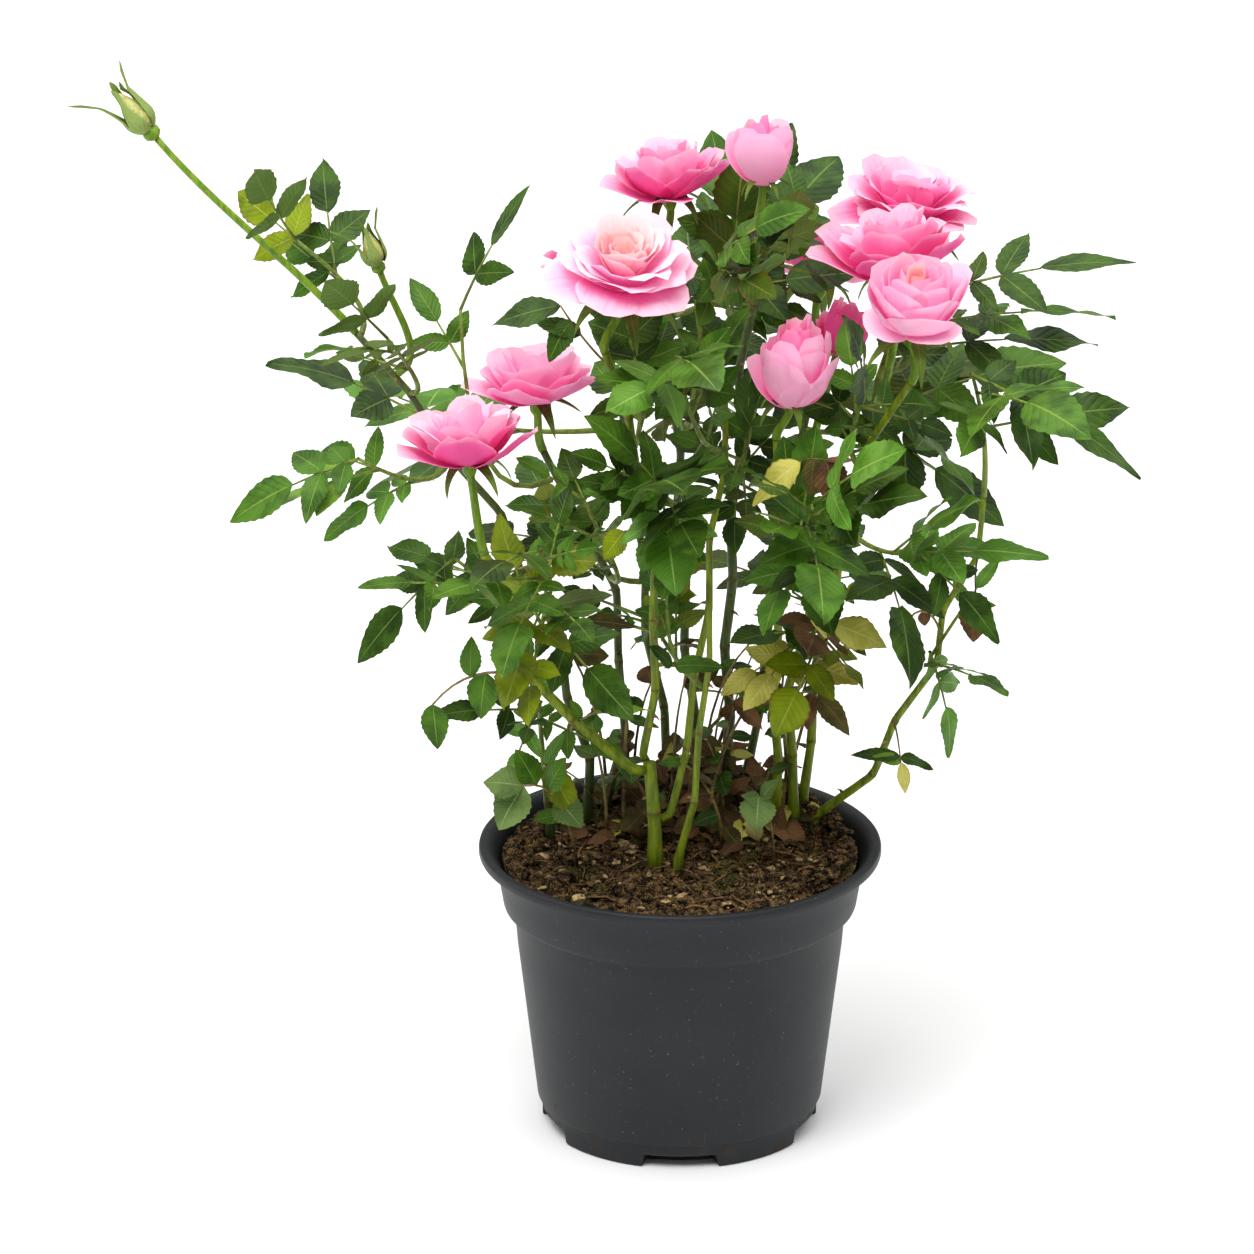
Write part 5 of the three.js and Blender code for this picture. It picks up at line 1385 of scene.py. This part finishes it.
PETALS = {
    "pale": dict(base="e4649e", face="f1b4d4", rim="f7d6e4", back="f2aed2", glow="ff66aa"),
    "pink": dict(base="d2347a", face="ee88b6", rim="f8c6da", back="e868a4", glow="f84898"),
    "deep": dict(base="b0185a", face="dc4e8c", rim="f4b0ca", back="d64a8a", glow="e03078"),
    "peach": dict(base="e27670", face="f4b4b6", rim="f9dad6", back="efa0b0", glow="ff6a78"),
    "cream": dict(base="de769a", face="f4c2c4", rim="f9e0da", back="dd5a90", glow="f86a94"),
}
# Each bloom's form, how far it leans back, in degrees, and its shells' tints from the outside in. The
# pink inner shells of flower_middle and flower_top are partly their own deeper colour and partly
# painted shade inside the closed bloom.
BLOOM_LOOKS = {
    "flower_front": ("rosette", 0, "pink", "pale", "cream", "peach"),
    "flower_back_left": ("bowl", 8, "deep", "pale", "pink", "cream"),
    "flower_top": ("egg", 13, "pale", "pale", "pink", "pink"),
    "flower_right_back": ("rosette", 0, "deep", "pink", "pale", "pale"),
    "flower_right_middle": ("bowl", 10, "deep", "pink", "pink", "peach"),
    "flower_right_front": ("cup", 7, "pale", "pale", "pale", "peach"),
    "flower_middle": ("goblet", 11, "pale", "pale", "pink", "pink"),
    "flower_left_front": ("bowl", 22, "deep", "pale", "pale", "pale"),
    "flower_left_back": ("bowl", 8, "pink", "pale", "pale", "cream"),
    "flower_hidden": ("goblet", 0, "deep", "deep", "pink", "pink"),
    "flower_far_right": ("rosette", 0, "pink", "pale", "pale", "peach"),
    "flower_far_left": ("bowl", 0, "deep", "pink", "pale", "peach"),
}


def bloom_basis(flower):
    """Rows across, side and face of a bloom, turned as its solid is but for its lean."""
    face = turn_about(flower["face"], np.array([1.0, 0, 0]), -radians(flower["lean"]))
    x, y, z = frame_from(face, UP + face * 0.1)
    return np.array([-z, y, x])


def arc(psi0, kappa, share, long):
    """The way, radius and height at a share of a line that sets off at psi0 and turns by kappa."""
    psi = psi0 + kappa * share
    return (psi, long * (np.sin(psi) - np.sin(psi0)) / kappa,
            long * (np.cos(psi0) - np.cos(psi)) / kappa)


def petal_grids(flower, shell, phase, rng, rows=9, cols=9):
    """One shell of petals. Along a petal its way turns evenly from the first angle to the last,
    which gives radius and height in closed form. Across, it follows a circle round the axis
    that is wider by its flatness. Its top is rounded, its rim curls, and its edge is ruffled."""
    count, length, half, foot, low, first, last, flat, curl, _ = shell
    width = flower["width"]
    each = (count, 1, 1)
    a = np.linspace(0, 1, rows)[None, :, None]
    b = np.sin(np.linspace(-1, 1, cols) * pi / 2)[None, None, :]
    long = length * width * rng.uniform(0.88, 1.08, each)
    s = a - 0.4 * a ** 2 * (1 - np.sqrt(1 - 0.98 * b ** 2))
    s = s - 0.025 * a ** 4 * np.exp(-(b / 0.25) ** 2)
    psi0 = np.radians(first + rng.normal(0, 4, each))
    kappa = np.radians(last + rng.normal(0, 2 + 75 * curl, each)) - psi0
    kappa = np.where(np.abs(kappa) < 0.05, 0.05, kappa)
    psi, radius, height = arc(psi0, kappa, s, long)
    radius, height = radius + foot * width, height + low * width
    spread = 0.25 + 0.75 * np.sin(pi / 2 * np.minimum(a / 0.6, 1))
    t = b * spread * half * width * rng.uniform(0.92, 1.1, each)
    ring = flat * np.maximum(radius, 0.06 * width)
    inward = ring * (1 - np.cos(np.clip(t / ring, -2.4, 2.4)))
    side = ring * np.sin(np.clip(t / ring, -2.4, 2.4))
    ruffle = np.sin(b * rng.uniform(4, 7, each) + rng.uniform(0, 2 * pi, each))
    out = curl * long * np.maximum(0, (s - 0.62) / 0.38) ** 2 * rng.uniform(0.3, 2.2, each)
    out = out + (0.01 + 0.55 * curl) * long * ruffle * s ** 3 + 0.06 * long * b * s
    out = out + 0.05 * long * np.abs(b) ** 3 * s ** 2
    radial = radius - inward + out * np.sin(psi)
    rise = height - out * np.cos(psi)
    turn = (phase + (np.arange(count) * 2 * pi / count)).reshape(each) + rng.normal(0, 0.09, each)
    return turned_about(radial, side, rise, turn)


def place_bloom(flower, local):
    """Local points of a bloom, turned to its face about its hip, where it meets its stalk."""
    depth = HIP_DEPTH[flower["kind"]] * flower["width"]
    hip = flower["centre"] - flower["face"] * depth
    return hip + (local + [0, 0, depth]) @ bloom_basis(flower)


# An open bloom's sepals: how many; their length, half-width and foot radius, as shares of the
# width; the way they set off and end, in degrees above level; and their thickness.
SEPAL = dict(count=5, length=0.42, half=0.075, foot=0.07, first=-5, last=-75, thickness=0.3)


def sepal_grids(flower, low, seed):
    """Narrow pointed sepals: an arch outline along a path that turns evenly down, like a petal."""
    rng = np.random.default_rng(seed)
    width, count = flower["width"], SEPAL["count"]
    each = (count, 1, 1)
    a = np.linspace(0, 1, 9)[None, :, None]
    b = np.linspace(-1, 1, 5)[None, None, :]
    long = SEPAL["length"] * width * rng.uniform(0.8, 1.15, each)
    psi0 = np.radians(SEPAL["first"] + rng.normal(0, 6, each))
    kappa = np.radians(SEPAL["last"] + rng.normal(0, 18, each)) - psi0 + 0.01
    psi, radius, height = arc(psi0, kappa, a, long)
    pointed = np.maximum(0.03, (1 - a) ** 0.8 * np.minimum(1, 0.5 + 2 * a))
    side = b * SEPAL["half"] * width * pointed
    lift = 0.3 * np.abs(side)
    turn = (np.arange(count) * 2 * pi / count).reshape(each) + rng.uniform(-0.15, 0.15, each)
    radial = SEPAL["foot"] * width + radius - lift * np.sin(psi)
    return turned_about(radial, side, low * width + height + lift * np.cos(psi), turn)


def add_turned(heap, flower, profile, sides=14):
    """A closed body turned round a bloom's axis from (radius, height) shares of its width."""
    radius, height = (np.array(profile, float) * flower["width"]).T[..., None]
    points = turned_about(radius, 0, height, np.arange(sides) * 2 * pi / sides)
    points = place_bloom(flower, points)
    heap.add_rings(points[None, 1:-1], points[:1, 0], points[-1:, 0])


# Hips and buds: radius and height of each ring, as shares of the width, from below upwards.
HIPS = {
    "open": [(0, -0.36), (0.04, -0.355), (0.062, -0.31), (0.064, -0.25), (0.09, -0.2), (0, -0.17)],
    "cup": [(0, -0.52), (0.05, -0.515), (0.085, -0.47), (0.09, -0.41), (0.12, -0.34), (0, -0.3)],
}
BUD = dict(
    hip=[(0, -0.97), (0.16, -0.95), (0.3, -0.82), (0.31, -0.66), (0.24, -0.52), (0, -0.45)],
    core=[(0, -0.6), (0.25, -0.5), (0.44, -0.2), (0.46, 0.0), (0.36, 0.35), (0.2, 0.7),
          (0.08, 0.95), (0, 1.02)],
)
# A bud's sepals: the side they stand on, in degrees, how far up they reach and how they flare.
BUD_SEPALS = [(5, 2.7, 0.75), (77, 1.7, 0.1), (175, 2.5, 0.3), (225, 1.7, 0.15), (280, 1.9, 0.2)]


def bud_sepal_grids(flower):
    """A bud's sepals: each hugs the bud as an arched strip, then runs on past its point in a
    narrow leafy tip that leans out by its flare."""
    width = flower["width"]
    a = np.linspace(0, 1, 17)[:, None]
    b = np.linspace(-1, 1, 5)[None]
    made = []
    for turn, reach, flare in BUD_SEPALS:
        z = -0.55 + (reach + 0.2) * a / (1 + 0.35 * flare)
        hug = np.interp(z, [-0.6, -0.5, -0.2, 0.0, 0.35, 0.7, 1.0],
                        [0.26, 0.33, 0.5, 0.52, 0.42, 0.27, 0.12])
        lean = flare * np.maximum(0, z - 0.1) ** 1.3
        half = np.interp(a, [0, 0.2, 0.45, 0.7, 0.9, 1], [0.2, 0.36, 0.2, 0.08, 0.13, 0.02])
        ring = hug + 0.02
        angle = np.clip(b * half / ring, -1.2, 1.2)
        out, side = ring * np.cos(angle) + lean, ring * np.sin(angle)
        made.append(turned_about(out, side, z, radians(turn)) * width)
    return place_bloom(flower, np.array(made))


def add_stamens(heap, flower, seed):
    """Thin threads from the middle of an open bloom, thicker at their tips."""
    rng = np.random.default_rng(seed)
    count, width = 26, flower["width"]
    turn, lean = rng.uniform(0, 2 * pi, count), rng.uniform(0.1, 0.7, count)
    long = rng.uniform(0.09, 0.15, count) * width
    share = np.array([0, 0.5, 0.85, 0.93, 1.0])
    out = 0.01 * width + long[:, None] * share * np.sin(lean)[:, None]
    rise = -0.1 * width + long[:, None] * share * np.cos(lean)[:, None]
    local = turned_about(out, 0, rise, turn[:, None])
    add_tubes(heap, place_bloom(flower, local), np.array([[0.12, 0.1, 0.14, 0.4, 0.2]]), 5)


def make_blooms(flowers):
    """Petals by tint, hips, sepals, stamens, buds and stalks."""
    blooms = {n: {**f, "lean": BLOOM_LOOKS[n][1]} for n, f in flowers.items() if f["kind"] != "bud"}
    buds = {n: {**f, "lean": 0} for n, f in flowers.items() if f["kind"] == "bud"}
    tinted = {tint: Heap() for tint in PETALS}
    green, sepals, stamens, cores = Heap(), Heap(), Heap(), Heap()
    for i, (name, flower) in enumerate(blooms.items()):
        rng = np.random.default_rng(300 + i)
        form, _, *tints = BLOOM_LOOKS[name]
        for k, shell in enumerate(SHELLS[form]):
            phase = k * 2.4 + rng.uniform(0, 1)
            grids = place_bloom(flower, petal_grids(flower, shell, phase, rng))
            tinted[tints[shell[-1]]].add_lens(grids, PETAL_THICKNESS)
        add_turned(green, flower, HIPS[flower["kind"]])
        low = HIPS[flower["kind"]][-2][1] - 0.015
        grids = place_bloom(flower, sepal_grids(flower, low, 500 + i))
        sepals.add_lens(grids, SEPAL["thickness"])
        if flower["kind"] == "open":
            add_stamens(stamens, flower, 600 + i)
    for flower in buds.values():
        add_turned(green, flower, BUD["hip"])
        add_turned(cores, flower, BUD["core"])
        sepals.add_lens(bud_sepal_grids(flower), SEPAL["thickness"])
    shares = np.linspace(0, 1, 14)
    paths = np.array([f["curve"].point(shares) for f in flowers.values()])
    radii = np.array([np.interp(shares, [0, 1], f["radius"]) for f in flowers.values()])
    add_tubes(green, paths, radii * (1 + 0.12 * np.exp(-(shares - 0.97) ** 2 / 0.001)), 12)
    for tint, heap in tinted.items():
        piece("petals_" + tint, heap, petal_material("petal_" + tint, **PETALS[tint]),
              list(blooms), sharp=70)
    stalk = cane_material("stalk_green", "7c9a24", "567a16", "80603a")
    piece("stalks", green, stalk, list(flowers))
    sepal = leaf_material("sepal_green", "6c8430", "4c6420", "9aa858", "849a50", rough=0.5)
    piece("sepals", sepals, sepal, list(flowers), sharp=60)
    cream = plain_material("bud_green", "c3c67a", "a8a458", 0.3, 0.5)
    piece("bud_cores", cores, cream, list(buds))
    stamen = plain_material("stamen_tan", "c79a4a", "7a4f20", 0.8, 0.7)
    piece("stamens", stamens, stamen, [])


# ---------------------------------------------------------------- studio


def make_studio():
    """A pale floor, a white surround and large soft lights."""
    mesh = bpy.data.meshes.new("floor")
    mesh.from_pydata([(-6, -4, 0), (6, -4, 0), (6, 9, 0), (-6, 9, 0)], [], [(0, 1, 2, 3)])
    floor = bpy.data.objects.new("floor", mesh)
    bpy.context.scene.collection.objects.link(floor)
    shader = Shader("floor_white", Roughness=0.6, Specular_IOR_Level=0.2)
    shader.surface.inputs["Base Color"].default_value = (0.88, 0.88, 0.88, 1)
    mesh.materials.append(shader.material)

    world = bpy.data.worlds.new("surround")
    bpy.context.scene.world = world
    world.use_nodes = True
    world.node_tree.nodes["Background"].inputs["Color"].default_value = (1, 1, 1, 1)
    world.node_tree.nodes["Background"].inputs["Strength"].default_value = 0.3
    # place, what it looks at, size and watts of each light
    lights = [((0, 1.0, 3.5), (0, 1.0, 0), 8, 350), ((-0.5, -1.1, 2.1), (0, 0, 0.2), 1.1, 31)]
    for i, (place, target, size, watts) in enumerate(lights):
        data = bpy.data.lights.new(f"softbox_{i}", "AREA")
        data.size, data.energy = size, watts
        light = bpy.data.objects.new(f"softbox_{i}", data)
        bpy.context.scene.collection.objects.link(light)
        light.location = place
        light.rotation_mode = "QUATERNION"
        light.rotation_quaternion = (Vector(target) - Vector(place)).to_track_quat("-Z", "Y")
    bpy.context.scene.view_settings.view_transform = "Standard"


def make_camera():
    """A long lens from the front, a little to the left, looking down by 20.5 degrees."""
    data = bpy.data.cameras.new("camera")
    data.lens, data.sensor_width = 230.81, 36
    data.clip_start, data.clip_end = 0.1, 50
    camera = bpy.data.objects.new("camera", data)
    bpy.context.scene.collection.objects.link(camera)
    camera.location = (-0.01714, -2.41068, 1.06998)
    camera.rotation_euler = (radians(90 - 20.475), 0, 0)
    bpy.context.scene.camera = camera


make_camera()
make_studio()
canes, flowers, shoots = grow_plant()
make_pot()
make_soil()
make_canes(canes)
make_foliage(shoots, canes)
make_blooms(flowers)
